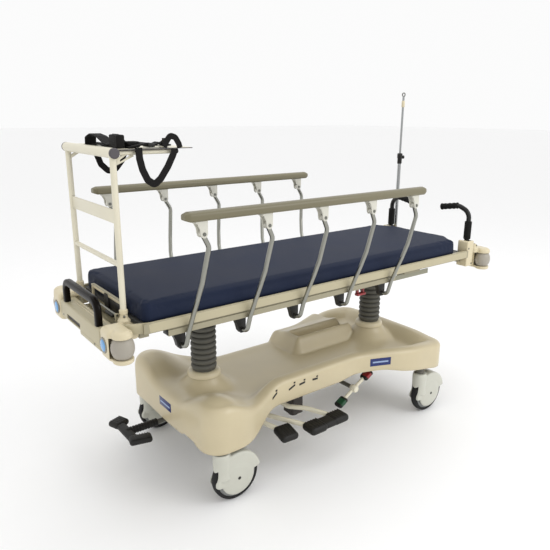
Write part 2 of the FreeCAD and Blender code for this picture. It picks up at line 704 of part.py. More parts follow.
def foot_beam():
    """Moulded beam between the foot corners, with a grooved top and a label recess on its outer face."""
    outer, inner = BEAM_X
    low, high = BEAM_Z
    span = (-BEAM_Y, BEAM_Y)
    beam = box(BEAM_X, span, BEAM_Z)
    beam = beam.cut(box((outer - 4, outer + 5), (-10, 130), (low + 11, low + 28)))
    for x in (inner - 27, inner - 18, inner - 9):
        beam = beam.cut(box((x - 2, x + 2), (-140, 140), (high - 3, high + 2)))
    skirt = box((outer, outer + 28), (-BEAM_Y, 0), (low - 14, low + 2))
    ledge = box((inner - 1, LITTER_X[0] - 0.5), span, (low + 8, low + 28))
    return fuse([beam, skirt, ledge])


def push_bar():
    """Bent tube push bar standing on the foot beam."""
    x, y, low, high = PUSH_BAR_X, PUSH_BAR_Y, BEAM_Z[1] + 0.2, PUSH_BAR_TOP_Z
    path = [(x, -y, low), (x, -y, high), (x, y, high), (x, y, low)]
    return bent_rod(path, 45, PUSH_BAR_R)


def monitor_frame():
    """Welded frame over the foot end: two posts, top tube, plate and rung."""
    x, y, top = MONITOR_X, MONITOR_Y, MONITOR_TOP_Z
    pieces = [rod((x, s * y, 754), (x, s * y, top), MONITOR_POST_R) for s in ENDS]
    pieces.append(rod((x, -y - 22, top), (x, y + 22, top), 17))
    pieces.append(box((x - 3, x + 3), (-y, y), (1129, 1175)))
    pieces.append(rod((x, -y, 993), (x, y, 993), 9))
    for s in ENDS:
        arm_y = s * (y - 7.5)
        pieces.append(rod((x, arm_y, top), (x + 232, arm_y, top), 8))
        brace = [(x + 6, arm_y, top - 67), (x + 14, arm_y, top - 79), (x + 104, arm_y, top - 15),
                 (x + 96, arm_y, top - 3)]
        pieces.append(prism(brace, (0, -s * 4, 0)))
    return fuse(pieces)


def monitor_shelf():
    """Thin steel shelf plate on the side tubes, with a turned-up far edge."""
    low = MONITOR_TOP_Z + SHELF_LIFT
    plate = rounded_slab((MONITOR_X + 19, -680), (-222, 222), (low, low + SHELF_T), 10)
    edge = box((MONITOR_X + 30, -700), (214, 218), (low, low + 14))
    return fuse([plate, edge])


def shelf_straps():
    """Flat webbing over the shelf: one lying band with a buckle and two hanging loops."""
    low = MONITOR_TOP_Z + SHELF_LIFT + SHELF_T + 0.3
    bands = [box((-905, -715), (-150, -120), (low, low + 4))]
    bands.append(rounded_slab((-880, -835), (-160, -112), (low + 4.3, low + 16), 4))
    for x, y, drop in ((-900, -226.5, 105), (-760, -226.5, 115)):
        bands.append(box((x, x + 30), (y, y + 3), (low - drop, low + 5)))
        bands.append(box((x, x + 30), (y + 3, -151), (low + 0.2, low + 5)))
    return group([fuse(bands[:1]), bands[1], fuse(bands[2:4]), fuse(bands[4:6])])


# ---- side rails ----------------------------------------------------------------------------------
def post_x(index):
    """X of a rail post's lower pivot."""
    return POST_FOOT_X + index * POST_PITCH


def rail_post(index, side):
    """S-bent tube: its foot turns inward as the lower pivot and its head carries the upper pivot eye."""
    x = post_x(index)
    z0 = POST_FOOT_Z
    path = [(x, 236, z0), (x, 292, z0), (x + 6, 307, 748), (x + 14, 332, 820), (x + 18, 350, 866),
            (x + 29, 368, 930), (x + 47, 388, 1056), (x + POST_TOP_DX, 393, POST_TOP_Z)]
    bar = bent_rod(path, 34, POST_R)
    eye_at = x + POST_TOP_DX
    eye = rod((eye_at, POST_TOP_Y - 9, POST_TOP_Z), (eye_at, POST_TOP_Y + 9, POST_TOP_Z), 11)
    bore = rod((eye_at, POST_TOP_Y - 20, POST_TOP_Z), (eye_at, POST_TOP_Y + 20, POST_TOP_Z), POST_PIN_R + RUN)
    return to_side(fuse([bar, eye]).cut(bore), side)


def rail_brackets():
    """Bearing brackets under the side members that hold the rail posts' turned-in feet."""
    brackets = []
    top, bottom = RAIL_Z[0] - 0.2, POST_FOOT_Z - 15
    for side in SIDES:
        for index in range(POST_COUNT):
            x = post_x(index)
            outline = [(x - 46, top), (x + 15, top), (x + 15, bottom + 9), (x + 8, bottom), (x - 8, bottom),
                       (x - 16, bottom + 10), (x - 23, bottom + 36), (x - 34, top - 12)]
            block = prism([(px, 240, pz) for px, pz in outline], (0, 22, 0))
            bore = rod((x, 230, POST_FOOT_Z), (x, 275, POST_FOOT_Z), POST_R + RUN)
            brackets.append(to_side(block.cut(bore), side))
    return group(brackets)


def hand_rail(side):
    """Grip bar of the side rail with a rounded roof and bevelled ends."""
    half = RAIL_BAR_W / 2
    low, high = RAIL_BAR_Z
    one_side = [(half - 6, low), (half, low + 5), (half, high - 14), (half - 9, high - 3), (half - 16, high)]
    profile = one_side + [(-y, z) for y, z in reversed(one_side)]
    points = [(RAIL_BAR_X[0], POST_TOP_Y + y, z) for y, z in profile]
    return to_side(prism(points, (RAIL_BAR_X[1] - RAIL_BAR_X[0], 0, 0)), side)


def rail_clevises(side):
    """Clevis brackets under the grip bar with the upper pivot pins."""
    parts = []
    top = RAIL_BAR_Z[0]
    for index in range(POST_COUNT):
        x = post_x(index) + POST_TOP_DX
        ears = []
        for y in (POST_TOP_Y - 15, POST_TOP_Y + 10):
            outline = [(x - 30, top), (x + 14, top), (x + 13, POST_TOP_Z - 6), (x, POST_TOP_Z - 14),
                       (x - 13, POST_TOP_Z - 6), (x - 15, POST_TOP_Z + 16)]
            ears.append(prism([(px, y, pz) for px, pz in outline], (0, 4.5, 0)))
        ears.append(box((x - 30, x + 14), (POST_TOP_Y - 15, POST_TOP_Y + 14.5), (top - 10, top)))
        ears.append(rod((x, POST_TOP_Y - 16, POST_TOP_Z), (x, POST_TOP_Y + 16, POST_TOP_Z), POST_PIN_R))
        parts.append(to_side(fuse(ears), side))
    return group(parts)


# ---- head end ------------------------------------------------------------------------------------
def push_handle(side):
    """Fold-down push handle: root barrel, tube with a foam sleeve and an inward grip."""
    x, y, z = HANDLE_X, HANDLE_Y, HANDLE_Z
    path = [(x, y, z), (x, y, 995), (x - 10, 200, 1024), (x - 14, 96, 1006)]
    bar = bent_rod(path, 55, 12)
    root = rod((x - 17.5, y, z), (x + 17.5, y, z), 20)
    sleeve = rod((x, y, 856), (x, y, 948), 18)
    grip = rod((x - 10.5, 196, 1023.3), (x - 14, 96, 1006), 17)
    bore = rod((x - 30, y, z), (x + 30, y, z), HANDLE_PIN_R + RUN)
    return to_side(fuse([bar, root, sleeve, grip]).cut(bore), side)


def handle_housing(side):
    """Cream box that carries a push handle between two cheeks."""
    x, y, z = HANDLE_X, HANDLE_Y, HANDLE_Z
    block = rounded_slab((x - 34, x + 20.5), (y - 30, y + 33), (716, 850), 6)
    block = block.cut(box((x - 18, x + 18), (y - 40, y + 22), (742, 860)))
    room_y, room_z = (RAIL_Y[0] - 4, RAIL_Y[2] + 1), (RAIL_Z[0] - 1, RAIL_Z[2] + 1)
    member_room = box((700, LITTER_X[1] + 0.5), room_y, room_z)
    block = block.cut(member_room)
    return to_side(fuse([block, rod((x - 26, y, z), (x + 19.5, y, z), HANDLE_PIN_R)]), side)


def pole_lower():
    """Fixed lower tube of the drip pole in its corner socket, with the lock collar."""
    x, y = POLE_X, POLE_Y
    bore = POLE_ROD_R + RUN
    pole = tube((x, y, 754), (x, y, POLE_LOCK_Z + 14), POLE_R, bore)
    collar = tube((x, y, POLE_LOCK_Z - 16), (x, y, POLE_LOCK_Z + 16), 15, bore)
    return fuse([pole, collar])


def pole_upper():
    """Sliding upper rod of the drip pole with a stop collar and a closed hanging eye at the top."""
    x, y = POLE_X, POLE_Y
    eye = Part.makeTorus(9.5, 3, V(x, y, POLE_TOP_Z - 12.5), X_AXIS)
    collar = rod((x, y, POLE_TOP_Z - 80), (x, y, POLE_TOP_Z - 45), 9)
    return fuse([rod((x, y, 1060), (x, y, POLE_TOP_Z - 22), POLE_ROD_R), collar, eye])


def accessory_rail():
    """Aluminium accessory rail under the near side member, inboard of the folded side rail."""
    rail = box((262, 632), (-236, -196), (712, 715)).fuse(box((262, 632), (-236, -233), (712, 736)))
    hangers = [box((x, x + 30), (-234, -200), (714, 739.3)) for x in (440, 500)]
    return fuse([rail] + hangers)


def release_lever():
    """Red squeeze bar that frees the backrest: two legs on a pin along X under the near side member."""
    y, z = LEVER_AXIS
    pieces = [box((x, x + 8), (y - 8, y + 5), (700, z)) for x in LEVER_LEGS_X]
    pieces += [rod((x, y, z), (x + 8, y, z), 8) for x in LEVER_LEGS_X]
    pieces.append(rounded_slab((LEVER_LEGS_X[0] - 6, LEVER_LEGS_X[1] + 14), (y - 16, y + 6), (694, 703), 5))
    return fuse(pieces).cut(rod((90, y, z), (200, y, z), LEVER_PIN_R + RUN))


def lever_bracket():
    """Cheeks and pin that carry the release lever."""
    y, z = LEVER_AXIS
    first, last = LEVER_LEGS_X
    cheeks = [box((x, x + 4), (y - 8, y + 14), (z - 8, 741)) for x in (first - 5, last + 9)]
    cheeks.append(box((first - 5, last + 13), (y + 6, y + 14), (z + 10, 741)))
    cheeks.append(rod((first - 6, y, z), (last + 14, y, z), LEVER_PIN_R))
    return fuse(cheeks)


# ---- write every node ----------------------------------------------------------------------------
def main():
    """Build and write the whole trolley."""
    os.makedirs("parts", exist_ok=True)
    write("base_frame", base_frame())
    write("base_shroud", base_shroud())
    write("lift_cylinders", lift_cylinders())
    write("column_collars", column_collars())
    write("pump_unit", pump_unit())
    write("brake_forks", group([brake_shaft(), brake_pads()]))
    write("end_pedal", end_pedal())
    for place, x in COLUMN_X.items():
        write("bellows_" + place, bellows(x))
    write("lift_rod_foot", lift_rod(COLUMN_X["foot"]))
    write("lift_rod_head", fuse([lift_rod(COLUMN_X["head"]), tilt_pin(COLUMN_X["head"])]))
    write("tilt_pin", tilt_pin(COLUMN_X["foot"]))
    for place, x in CASTER_X.items():
        for side, s in SIDES.items():
            write("caster_hood_" + place + "_" + side, caster_hood(x, s * CASTER_Y))
            write("caster_wheel_" + place + "_" + side, caster_wheel(x, s * CASTER_Y))
    for side in SIDES:
        write("raise_pedal_" + side, raise_pedal(side))
        write("lower_pedal_" + side, lower_pedal(side))
    write("litter_frame", litter_frame())
    write("deck_panel", deck_panel())
    write("backrest_panel", backrest_panel())
    write("mattress_seat", mattress_section("seat"))
    write("mattress_back", mattress_section("back"))
    write("corner_housings", group([corner_housing(e, s) for e in ENDS for s in SIDES]))
    write("corner_lenses", corner_lenses())
    for end, place in ((-1, "foot"), (1, "head")):
        for side in SIDES:
            write("bumper_roller_" + place + "_" + side, bumper_roller(end, side))
    write("foot_beam", foot_beam())
    write("push_bar", push_bar())
    write("monitor_frame", monitor_frame())
    write("monitor_shelf", monitor_shelf())
    write("shelf_straps", shelf_straps())
    write("rail_brackets", rail_brackets())
    for side in SIDES:
        write("hand_rail_" + side, group([hand_rail(side), rail_clevises(side)]))
        for index in range(POST_COUNT):
            write("rail_post_" + side + "_" + str(index + 1), rail_post(index, side))
        write("push_handle_" + side, push_handle(side))
    write("handle_housings", group([handle_housing(side) for side in SIDES]))
    write("pole_lower", pole_lower())
    write("pole_upper", pole_upper())
    write("accessory_rail", accessory_rail())
    write("release_lever", release_lever())


main()
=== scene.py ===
import math

import bmesh
import bpy
import numpy as np
from mathutils import Matrix, Vector


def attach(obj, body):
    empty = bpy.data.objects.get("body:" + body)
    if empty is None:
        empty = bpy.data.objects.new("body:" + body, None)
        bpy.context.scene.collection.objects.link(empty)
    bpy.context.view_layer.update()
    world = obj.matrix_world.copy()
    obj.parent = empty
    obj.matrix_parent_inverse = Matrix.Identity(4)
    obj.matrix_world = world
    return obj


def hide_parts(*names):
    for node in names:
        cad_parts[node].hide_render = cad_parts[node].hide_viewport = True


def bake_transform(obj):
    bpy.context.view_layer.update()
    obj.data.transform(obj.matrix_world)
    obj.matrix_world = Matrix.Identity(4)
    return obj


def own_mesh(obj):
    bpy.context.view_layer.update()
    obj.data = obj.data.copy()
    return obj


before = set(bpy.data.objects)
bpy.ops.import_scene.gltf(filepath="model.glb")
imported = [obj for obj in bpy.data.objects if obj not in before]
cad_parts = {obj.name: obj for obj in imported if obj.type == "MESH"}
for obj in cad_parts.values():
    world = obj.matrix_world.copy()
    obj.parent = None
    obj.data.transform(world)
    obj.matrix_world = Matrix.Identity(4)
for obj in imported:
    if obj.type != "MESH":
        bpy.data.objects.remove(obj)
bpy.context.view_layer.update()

rad = math.radians
SIDES = {"near": -1, "far": 1}
ENDS = {"foot": -1, "head": 1}
FLOOR_Z = 0.016    # the floor in the drawing heights used below; put() lowers every piece by it
FLIP_X = Matrix.Scale(-1, 4, (1, 0, 0))
FLIP_Y = Matrix.Scale(-1, 4, (0, 1, 0))
SHARP = 38    # edges steeper than this, in degrees, stay crisp

# ---- materials -------------------------------------------------------------------------------


def rgb(r, g, b):
    """Linear colour from a screen colour."""
    return tuple((c / 255 / 12.92) if c <= 10 else ((c / 255 + 0.055) / 1.055) ** 2.4 for c in (r, g, b))


def material(name, colour, rough=0.45, metal=0.0, mottle=0.05, mottle_size=9.0, grain=0.05, grain_size=900.0,
             coat=0.0, sheen=0.0, specular=0.5, rough_vary=0.06, crevice_shade=0.0, streak=None, weave=0.0):
    """Procedural finish: colour mottling, uneven roughness, a fine grain bump and painted shade that darkens
    the crevices.
    """
    mat = bpy.data.materials.new(name)
    mat.use_nodes = True
    tree = mat.node_tree
    nodes, link = tree.nodes, tree.links.new
    shader = nodes["Principled BSDF"]
    shader.inputs["Metallic"].default_value = metal
    shader.inputs["Specular IOR Level"].default_value = specular
    shader.inputs["Coat Weight"].default_value = coat
    shader.inputs["Coat Roughness"].default_value = 0.12
    shader.inputs["Sheen Weight"].default_value = sheen
    place = nodes.new("ShaderNodeTexCoord")
    stretch = nodes.new("ShaderNodeMapping")
    stretch.inputs["Scale"].default_value = streak or (1, 1, 1)
    link(place.outputs["Object"], stretch.inputs["Vector"])
    cloud = nodes.new("ShaderNodeTexNoise")
    cloud.inputs["Scale"].default_value = mottle_size
    cloud.inputs["Detail"].default_value = 5.0
    link(stretch.outputs["Vector"], cloud.inputs["Vector"])
    ramp = nodes.new("ShaderNodeValToRGB")
    ramp.color_ramp.elements[0].position = 0.28
    ramp.color_ramp.elements[1].position = 0.72
    ramp.color_ramp.elements[0].color = tuple(c * (1 - mottle) for c in colour) + (1,)
    ramp.color_ramp.elements[1].color = tuple(min(1, c * (1 + mottle)) for c in colour) + (1,)
    link(cloud.outputs["Fac"], ramp.inputs["Fac"])
    colour_out = ramp.outputs["Color"]
    # Painted shade: ambient occlusion darkens the base colour in crevices, folds and gaps between parts.
    if crevice_shade:
        crevice = nodes.new("ShaderNodeAmbientOcclusion")
        crevice.inputs["Distance"].default_value = 0.02
        crevice.samples = 6
        shade_mix = nodes.new("ShaderNodeMix")
        shade_mix.data_type = "RGBA"
        shade_mix.inputs["A"].default_value = tuple(c * (1 - crevice_shade) for c in colour) + (1,)
        link(crevice.outputs["AO"], shade_mix.inputs["Factor"])
        link(colour_out, shade_mix.inputs["B"])
        colour_out = shade_mix.outputs["Result"]
    link(colour_out, shader.inputs["Base Color"])
    spread = nodes.new("ShaderNodeMapRange")
    spread.inputs["To Min"].default_value = max(0.02, rough - rough_vary)
    spread.inputs["To Max"].default_value = min(1, rough + rough_vary)
    link(cloud.outputs["Fac"], spread.inputs["Value"])
    link(spread.outputs["Result"], shader.inputs["Roughness"])
    fine = nodes.new("ShaderNodeTexNoise")
    fine.inputs["Scale"].default_value = grain_size
    fine.inputs["Detail"].default_value = 3.0
    link(stretch.outputs["Vector"], fine.inputs["Vector"])
    height = fine.outputs["Fac"]
    if weave:
        height = woven(nodes, link, place, weave, height)
    bump = nodes.new("ShaderNodeBump")
    bump.inputs["Strength"].default_value = grain
    bump.inputs["Distance"].default_value = 0.001
    link(height, bump.inputs["Height"])
    link(bump.outputs["Normal"], shader.inputs["Normal"])
    return mat


def woven(nodes, link, place, pitch, height):
    """Adds two crossed thread waves to a height."""
    total = height
    for direction in ("X", "Y"):
        wave = nodes.new("ShaderNodeTexWave")
        wave.bands_direction = direction
        wave.inputs["Scale"].default_value = pitch
        wave.inputs["Distortion"].default_value = 0.4
        link(place.outputs["Object"], wave.inputs["Vector"])
        add = nodes.new("ShaderNodeMath")
        add.operation = "ADD"
        link(total, add.inputs[0])
        link(wave.outputs["Fac"], add.inputs[1])
        total = add.outputs["Value"]
    return total


# Each finish's crevice amount sets how strongly painted shade darkens its crevices.
M = {
    "shell": material("shell_cream", rgb(212, 200, 168), 0.36, mottle=0.025, grain=0.06, grain_size=700,
                      coat=0.15, crevice_shade=0.3),
    "base": material("base_cream", rgb(200, 187, 154), 0.36, mottle=0.03, grain_size=700, coat=0.15,
                     crevice_shade=0.25),
    "paint": material("paint_cream", rgb(222, 216, 194), 0.38, mottle=0.03, grain=0.12, grain_size=420,
                      coat=0.1, crevice_shade=0.35),
    "side": material("side_cream", rgb(156, 149, 124), 0.4, mottle=0.03, streak=(0.1, 1, 1), crevice_shade=0.45),
    "beam": material("beam_cream", rgb(184, 175, 145), 0.4, mottle=0.03, grain=0.06, crevice_shade=0.4),
    "steel": material("frame_grey", rgb(100, 98, 90), 0.5, metal=0.3, mottle=0.08, grain=0.15,
                      grain_size=300),
    "chrome": material("ram_chrome", rgb(205, 205, 205), 0.16, metal=1.0, mottle=0.04, grain=0.02,
                       streak=(1, 1, 0.08), mottle_size=60),
    "post": material("post_steel", rgb(150, 150, 142), 0.3, metal=1.0, mottle=0.06, streak=(1, 1, 0.06),
                     mottle_size=120, grain_size=500),
    "bellows": material("bellows_rubber", rgb(94, 93, 86), 0.6, mottle=0.08, grain=0.2, grain_size=350,
                        crevice_shade=0.6, specular=0.3),
    "pump": material("pump_black", rgb(38, 30, 24), 0.4, mottle=0.12, grain=0.2, grain_size=260),
    "caster": material("caster_white", rgb(196, 196, 184), 0.32, mottle=0.03, coat=0.15, crevice_shade=0.35),
    "rim": material("wheel_grey", rgb(128, 130, 128), 0.42, grain=0.1),
    "tyre": material("tyre_black", rgb(30, 30, 30), 0.7, mottle=0.12, grain=0.3, grain_size=400,
                     specular=0.3),
    "pad": material("pad_black", rgb(24, 23, 20), 0.5, mottle=0.12, grain=0.3, grain_size=500, specular=0.35),
    "mattress": material("mattress_navy", rgb(21, 31, 54), 0.62, mottle=0.1, mottle_size=5, grain=0.25,
                         grain_size=1300, sheen=0.02, specular=0.18),
    "deck": material("deck_grey", rgb(70, 70, 68), 0.6, mottle=0.08, grain=0.2, grain_size=300),
    "roller": material("roller_grey", rgb(162, 156, 144), 0.42, mottle=0.03, grain=0.1, crevice_shade=0.25),
    "bezel": material("lens_bezel", rgb(140, 140, 134), 0.35, mottle=0.04),
    "lens": material("lens_blue", rgb(92, 158, 214), 0.14, mottle=0.08, mottle_size=40, grain=0.02, coat=0.6),
    "gloss_black": material("bar_black", rgb(14, 10, 7), 0.24, mottle=0.1, grain=0.04, specular=0.09),
    "tube_black": material("handle_black", rgb(22, 21, 19), 0.35, mottle=0.1, specular=0.35),
    "strap": material("strap_black", rgb(22, 20, 20), 0.8, mottle=0.12, grain=0.6, grain_size=500, weave=350,
                      sheen=0.05, specular=0.2),
    "black": material("fitting_black", rgb(28, 27, 25), 0.45, mottle=0.12, grain=0.2, grain_size=400,
                      specular=0.35),
    "cap": material("end_cap_grey", rgb(78, 74, 78), 0.5, mottle=0.06, grain=0.1),
    "taupe": material("rail_taupe", rgb(116, 110, 86), 0.4, grain=0.06, grain_size=600, coat=0.1,
                      streak=(0.15, 1, 1), specular=0.4),
    "clevis": material("clevis_white", rgb(206, 204, 192), 0.34, mottle=0.04, grain=0.06, coat=0.2, crevice_shade=0.3),
    "foam": material("handle_foam", rgb(22, 22, 21), 0.8, mottle=0.15, grain=0.7, grain_size=700,
                     specular=0.2),
    "pole": material("pole_steel", rgb(160, 162, 162), 0.26, metal=1.0, grain=0.03, streak=(1, 1, 0.05),
                     mottle_size=100),
    "alloy": material("tray_alloy", rgb(150, 148, 130), 0.4, metal=0.6, mottle=0.06, grain=0.1,
                      streak=(0.08, 1, 1)),
    "red": material("lever_red", rgb(140, 26, 30), 0.35, mottle=0.06, grain=0.06, coat=0.2),
    "green": material("pad_green", rgb(26, 72, 44), 0.4, mottle=0.08, grain=0.1),
    "badge": material("badge_blue", rgb(12, 34, 100), 0.35, mottle=0.06, mottle_size=60, grain=0.03,
                      coat=0.15),
    "badge_line": material("badge_edge", rgb(150, 170, 205), 0.35, mottle=0.04, grain=0.03),
    "mark": material("mark_dark", rgb(34, 30, 26), 0.5),
    "bolt": material("bolt_steel", rgb(120, 120, 114), 0.35, metal=1.0, mottle=0.08, grain=0.1),
    "floor": material("floor_pale", rgb(250, 250, 250), 0.8, mottle=0.004, grain=0.02, grain_size=80,
                      specular=0.2),
}

# ---- mesh helpers ----------------------------------------------------------------------------


def make(name, verts, faces, mat, sharp=SHARP):
    """Object from vertices and faces, shaded smooth with sharp edges kept."""
    mesh = bpy.data.meshes.new(name)
    mesh.from_pydata([tuple(v) for v in verts], [], faces)
    mesh.update()
    bm = bmesh.new()
    bm.from_mesh(mesh)
    bmesh.ops.recalc_face_normals(bm, faces=bm.faces)
    bm.to_mesh(mesh)
    bm.free()
    mesh.shade_smooth()
    mesh.set_sharp_from_angle(angle=rad(sharp))
    mesh.materials.append(M[mat])
    return linked(name, mesh)


def linked(name, mesh):
    """New object in the scene for a mesh."""
    obj = bpy.data.objects.new(name, mesh)
    bpy.context.collection.objects.link(obj)
    return obj


def bevel(obj, width, segments=3):
    mod = obj.modifiers.new("edges", "BEVEL")
    mod.width = width
    mod.segments = segments
    mod.limit_method = "ANGLE"
    mod.angle_limit = rad(32)
    mod.harden_normals = False
    return settle(obj)


def settle(obj, sharp=SHARP):
    """Applies the modifiers of an object to its mesh."""
    graph = bpy.context.evaluated_depsgraph_get()
    mesh = bpy.data.meshes.new_from_object(obj.evaluated_get(graph))
    obj.modifiers.clear()
    old = obj.data
    obj.data = mesh
    bpy.data.meshes.remove(old)
    mesh.shade_smooth()
    mesh.set_sharp_from_angle(angle=rad(sharp))
    return obj


def join(name, objs):
    """One object from several meshes."""
    bm = bmesh.new()
    mats = []
    for o in objs:
        start = len(bm.faces)
        bm.from_mesh(o.data)
        bm.faces.ensure_lookup_table()
        for i in range(start, len(bm.faces)):
            m = o.data.materials[bm.faces[i].material_index] if o.data.materials else None
            if m not in mats:
                mats.append(m)
            bm.faces[i].material_index = mats.index(m)
    mesh = bpy.data.meshes.new(name)
    bm.to_mesh(mesh)
    bm.free()
    for m in mats:
        mesh.materials.append(m)
    for o in objs:
        bpy.data.objects.remove(o)
    mesh.shade_smooth()
    mesh.set_sharp_from_angle(angle=rad(SHARP))
    return linked(name, mesh)


def grid_faces(rows, cols, close_cols=False):
    """Faces of a net of points, closed round its columns if asked."""
    faces = []
    for i in range(rows - 1):
        for j in range(cols if close_cols else cols - 1):
            a, b, k = i * cols, (i + 1) * cols, (j + 1) % cols
            faces.append((a + j, a + k, b + k, b + j))
    return faces


def tube_faces(rows, cols, capped=True):
    """Faces of a row of closed rings, with a cap at each end if asked."""
    faces = grid_faces(rows, cols, close_cols=True)
    if capped:
        faces += [tuple(range(cols)), tuple(range((rows - 1) * cols, rows * cols))[::-1]]
    return faces


def lathe(name, profile, centre, mat, axis="z", steps=48, sharp=SHARP):
    """Solid of revolution from (radius, height) pairs."""
    verts = []
    for r, h in profile:
        for k in range(steps):
            a = 2 * math.pi * k / steps
            p = (max(r, 1e-5) * math.cos(a), max(r, 1e-5) * math.sin(a), h)
            if axis == "y":
                p = (p[0], p[2], p[1])
            if axis == "x":
                p = (p[2], p[0], p[1])
            verts.append(Vector(p) + Vector(centre))
    faces = tube_faces(len(profile), steps, capped=profile[0] != profile[-1])
    return make(name, verts, faces, mat, sharp=sharp)


def disc(radius, low, high):
    """Profile of a plain plug for lathe()."""
    return [(0.0, low), (radius, low), (radius, high), (0.0, high)]


def tube(inner, outer, low, high):
    """Profile of a plain sleeve for lathe()."""
    return [(inner, low), (outer, low), (outer, high), (inner, high), (inner, low)]


def mirror(upper):
    """Profile from its upper half, mirrored about height 0, and closed if it has a bore."""
    lower = [(r, -h) for r, h in upper[::-1]]
    return lower + upper + (lower[:1] if upper[-1][0] > 0 else [])


def fillet(points, radius, steps=7):
    """Points along straight runs joined by arcs."""
    pts = [Vector(p) for p in points]
    radii = radius if isinstance(radius, (list, tuple)) else [radius] * (len(pts) - 2)
    out = [pts[0]]
    for before, corner, after, want in zip(pts, pts[1:], pts[2:], radii):
        back, ahead = (before - corner), (after - corner)
        half = back.angle(ahead) / 2
        if half > 1.56:
            out.append(corner)
            continue
        reach = min(want / math.tan(half), 0.49 * back.length, 0.49 * ahead.length)
        r = reach * math.tan(half)
        back.normalize()
        ahead.normalize()
        centre = corner + (back + ahead).normalized() * (r / math.sin(half))
        a = (corner + back * reach - centre).normalized()
        b = (corner + ahead * reach - centre).normalized()
        out += [centre + a.slerp(b, k / steps) * r for k in range(steps + 1)]
    out.append(pts[-1])
    return out


def frames(path, up=None):
    """Tangent, side and up vectors along a path with no twist."""
    tangents = []
    for i in range(len(path)):
        a = path[max(i - 1, 0)]
        b = path[min(i + 1, len(path) - 1)]
        tangents.append((b - a).normalized())
    side = tangents[0].cross(Vector(up) if up else tangents[0].orthogonal()).normalized()
    out = []
    for t in tangents:
        side = (side - t * side.dot(t)).normalized()
        out.append((t, side, side.cross(t).normalized()))
    return out


def sweep(name, path, section, mat, up=None, sharp=SHARP, scale=None):
    """A closed section, pairs across and up, carried along a path and capped."""
    path = [Vector(p) for p in path]
    verts = []
    for i, (p, (t, side, over)) in enumerate(zip(path, frames(path, up))):
        k = scale[i] if scale else 1
        verts += [p + side * (u * k) + over * (w * k) for u, w in section]
    return make(name, verts, tube_faces(len(path), len(section)), mat, sharp=sharp)


def ring(radius, steps):
    return [(radius * math.cos(2 * math.pi * k / steps), radius * math.sin(2 * math.pi * k / steps))
            for k in range(steps)]


def pipe(name, points, radius, mat, bend=0.03, steps=20):
    """Round bar with rounded corners."""
    path = fillet(points, bend) if len(points) > 2 else points
    return sweep(name, path, ring(radius, steps), mat)


def block(name, x, y, z, mat, edge=0.002, segments=3):
    """Box with softened edges."""
    v = [(a, b, c) for a in x for b in y for c in z]
    f = [(0, 1, 3, 2), (4, 6, 7, 5), (0, 4, 5, 1), (2, 3, 7, 6), (0, 2, 6, 4), (1, 5, 7, 3)]
    obj = make(name, v, f, mat)
    return bevel(obj, edge, segments) if edge else obj


def slab(name, outline, direction, mat, edge=0.002, segments=3):
    """Flat outline pushed along a direction, with softened edges."""
    n = len(outline)
    d = Vector(direction)
    verts = [Vector(p) for p in outline] + [Vector(p) + d for p in outline]
    faces = [tuple(range(n)), tuple(range(n, 2 * n))[::-1]]
    faces += [(i, (i + 1) % n, n + (i + 1) % n, n + i) for i in range(n)]
    obj = make(name, verts, faces, mat)
    return bevel(obj, edge, segments) if edge else obj


def cut(obj, *tools):
    """Takes the tools away from an object."""
    for tool in tools:
        mod = obj.modifiers.new("cut", "BOOLEAN")
        mod.operation = "DIFFERENCE"
        mod.object = tool
        mod.solver = "EXACT"
        settle(obj)
        bpy.data.objects.remove(tool)
    return obj


def moulded(name, parts, mat, voxel, soften, strength):
    """Overlapping solids melted into one soft moulding."""
    obj = join(name, parts)
    mod = obj.modifiers.new("melt", "REMESH")
    mod.mode = "VOXEL"
    mod.voxel_size = voxel
    mod.adaptivity = 0.0
    soft = obj.modifiers.new("soften", "SMOOTH")
    soft.factor = strength
    soft.iterations = soften
    settle(obj, sharp=60)
    obj.data.materials.clear()
    obj.data.materials.append(M[mat])
    return obj


def moved(obj, name, matrix):
    """Copy of an object with its mesh moved."""
    mesh = obj.data.copy()
    mesh.transform(matrix)
    if matrix.determinant() < 0:
        mesh.flip_normals()
    return linked(name, mesh)


def placed(pieces, name, flip_x=False, flip_y=False):
    """Joined pieces under one name, mirrored end for end or side for side."""
    whole = join("whole", pieces)
    matrix = (FLIP_Y if flip_y else Matrix.Identity(4)) @ (FLIP_X if flip_x else Matrix.Identity(4))
    piece = moved(whole, name, matrix)
    bpy.data.objects.remove(whole)
    return piece


def put(obj, body, nodes=()):
    """Lowers a piece to the floor, rides a body and stands for its CAD nodes."""
    obj.data.transform(Matrix.Translation((0, 0, -FLOOR_Z)))
    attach(obj, body)
    if nodes:
        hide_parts(*([nodes] if isinstance(nodes, str) else nodes))


def own(obj, node):
    """Puts the piece of a CAD node that is a body of its own."""
    put(obj, node, node)


def smoothstep(x, a, b):
    t = np.clip((x - a) / (b - a), 0, 1)
    return t * t * (3 - 2 * t)


def soft_max(a, b, k=0.012):
    h = np.clip(0.5 + 0.5 * (a - b) / k, 0, 1)
    return b + (a - b) * h + k * h * (1 - h)


# ---- base cover ------------------------------------------------------------------------------
COLUMN_X = {"foot": -0.535, "head": 0.475}
COVER_X = (-0.722, 0.668)
WIDE, WAIST, COVER_R = 0.362, 0.252, 0.08
SKIRT = 0.04    # how far the skirt stands outside the net of heights
BELLOWS_Z, FOLDS = (0.43, 0.6825), 10


def plan_half(x):
    """Half width of the cover's plan at x, without its rounded corners."""
    return WAIST + (WIDE - WAIST) * (1 - smoothstep(x, -0.6, -0.3) + smoothstep(x, 0.09, 0.48))


def half_width(x, inset=0.0):
    """Half width of a line drawn at a distance inside the plan."""
    slope = (plan_half(x + 0.002) - plan_half(x - 0.002)) / 0.004
    return plan_half(x) - inset * np.sqrt(1 + slope ** 2)


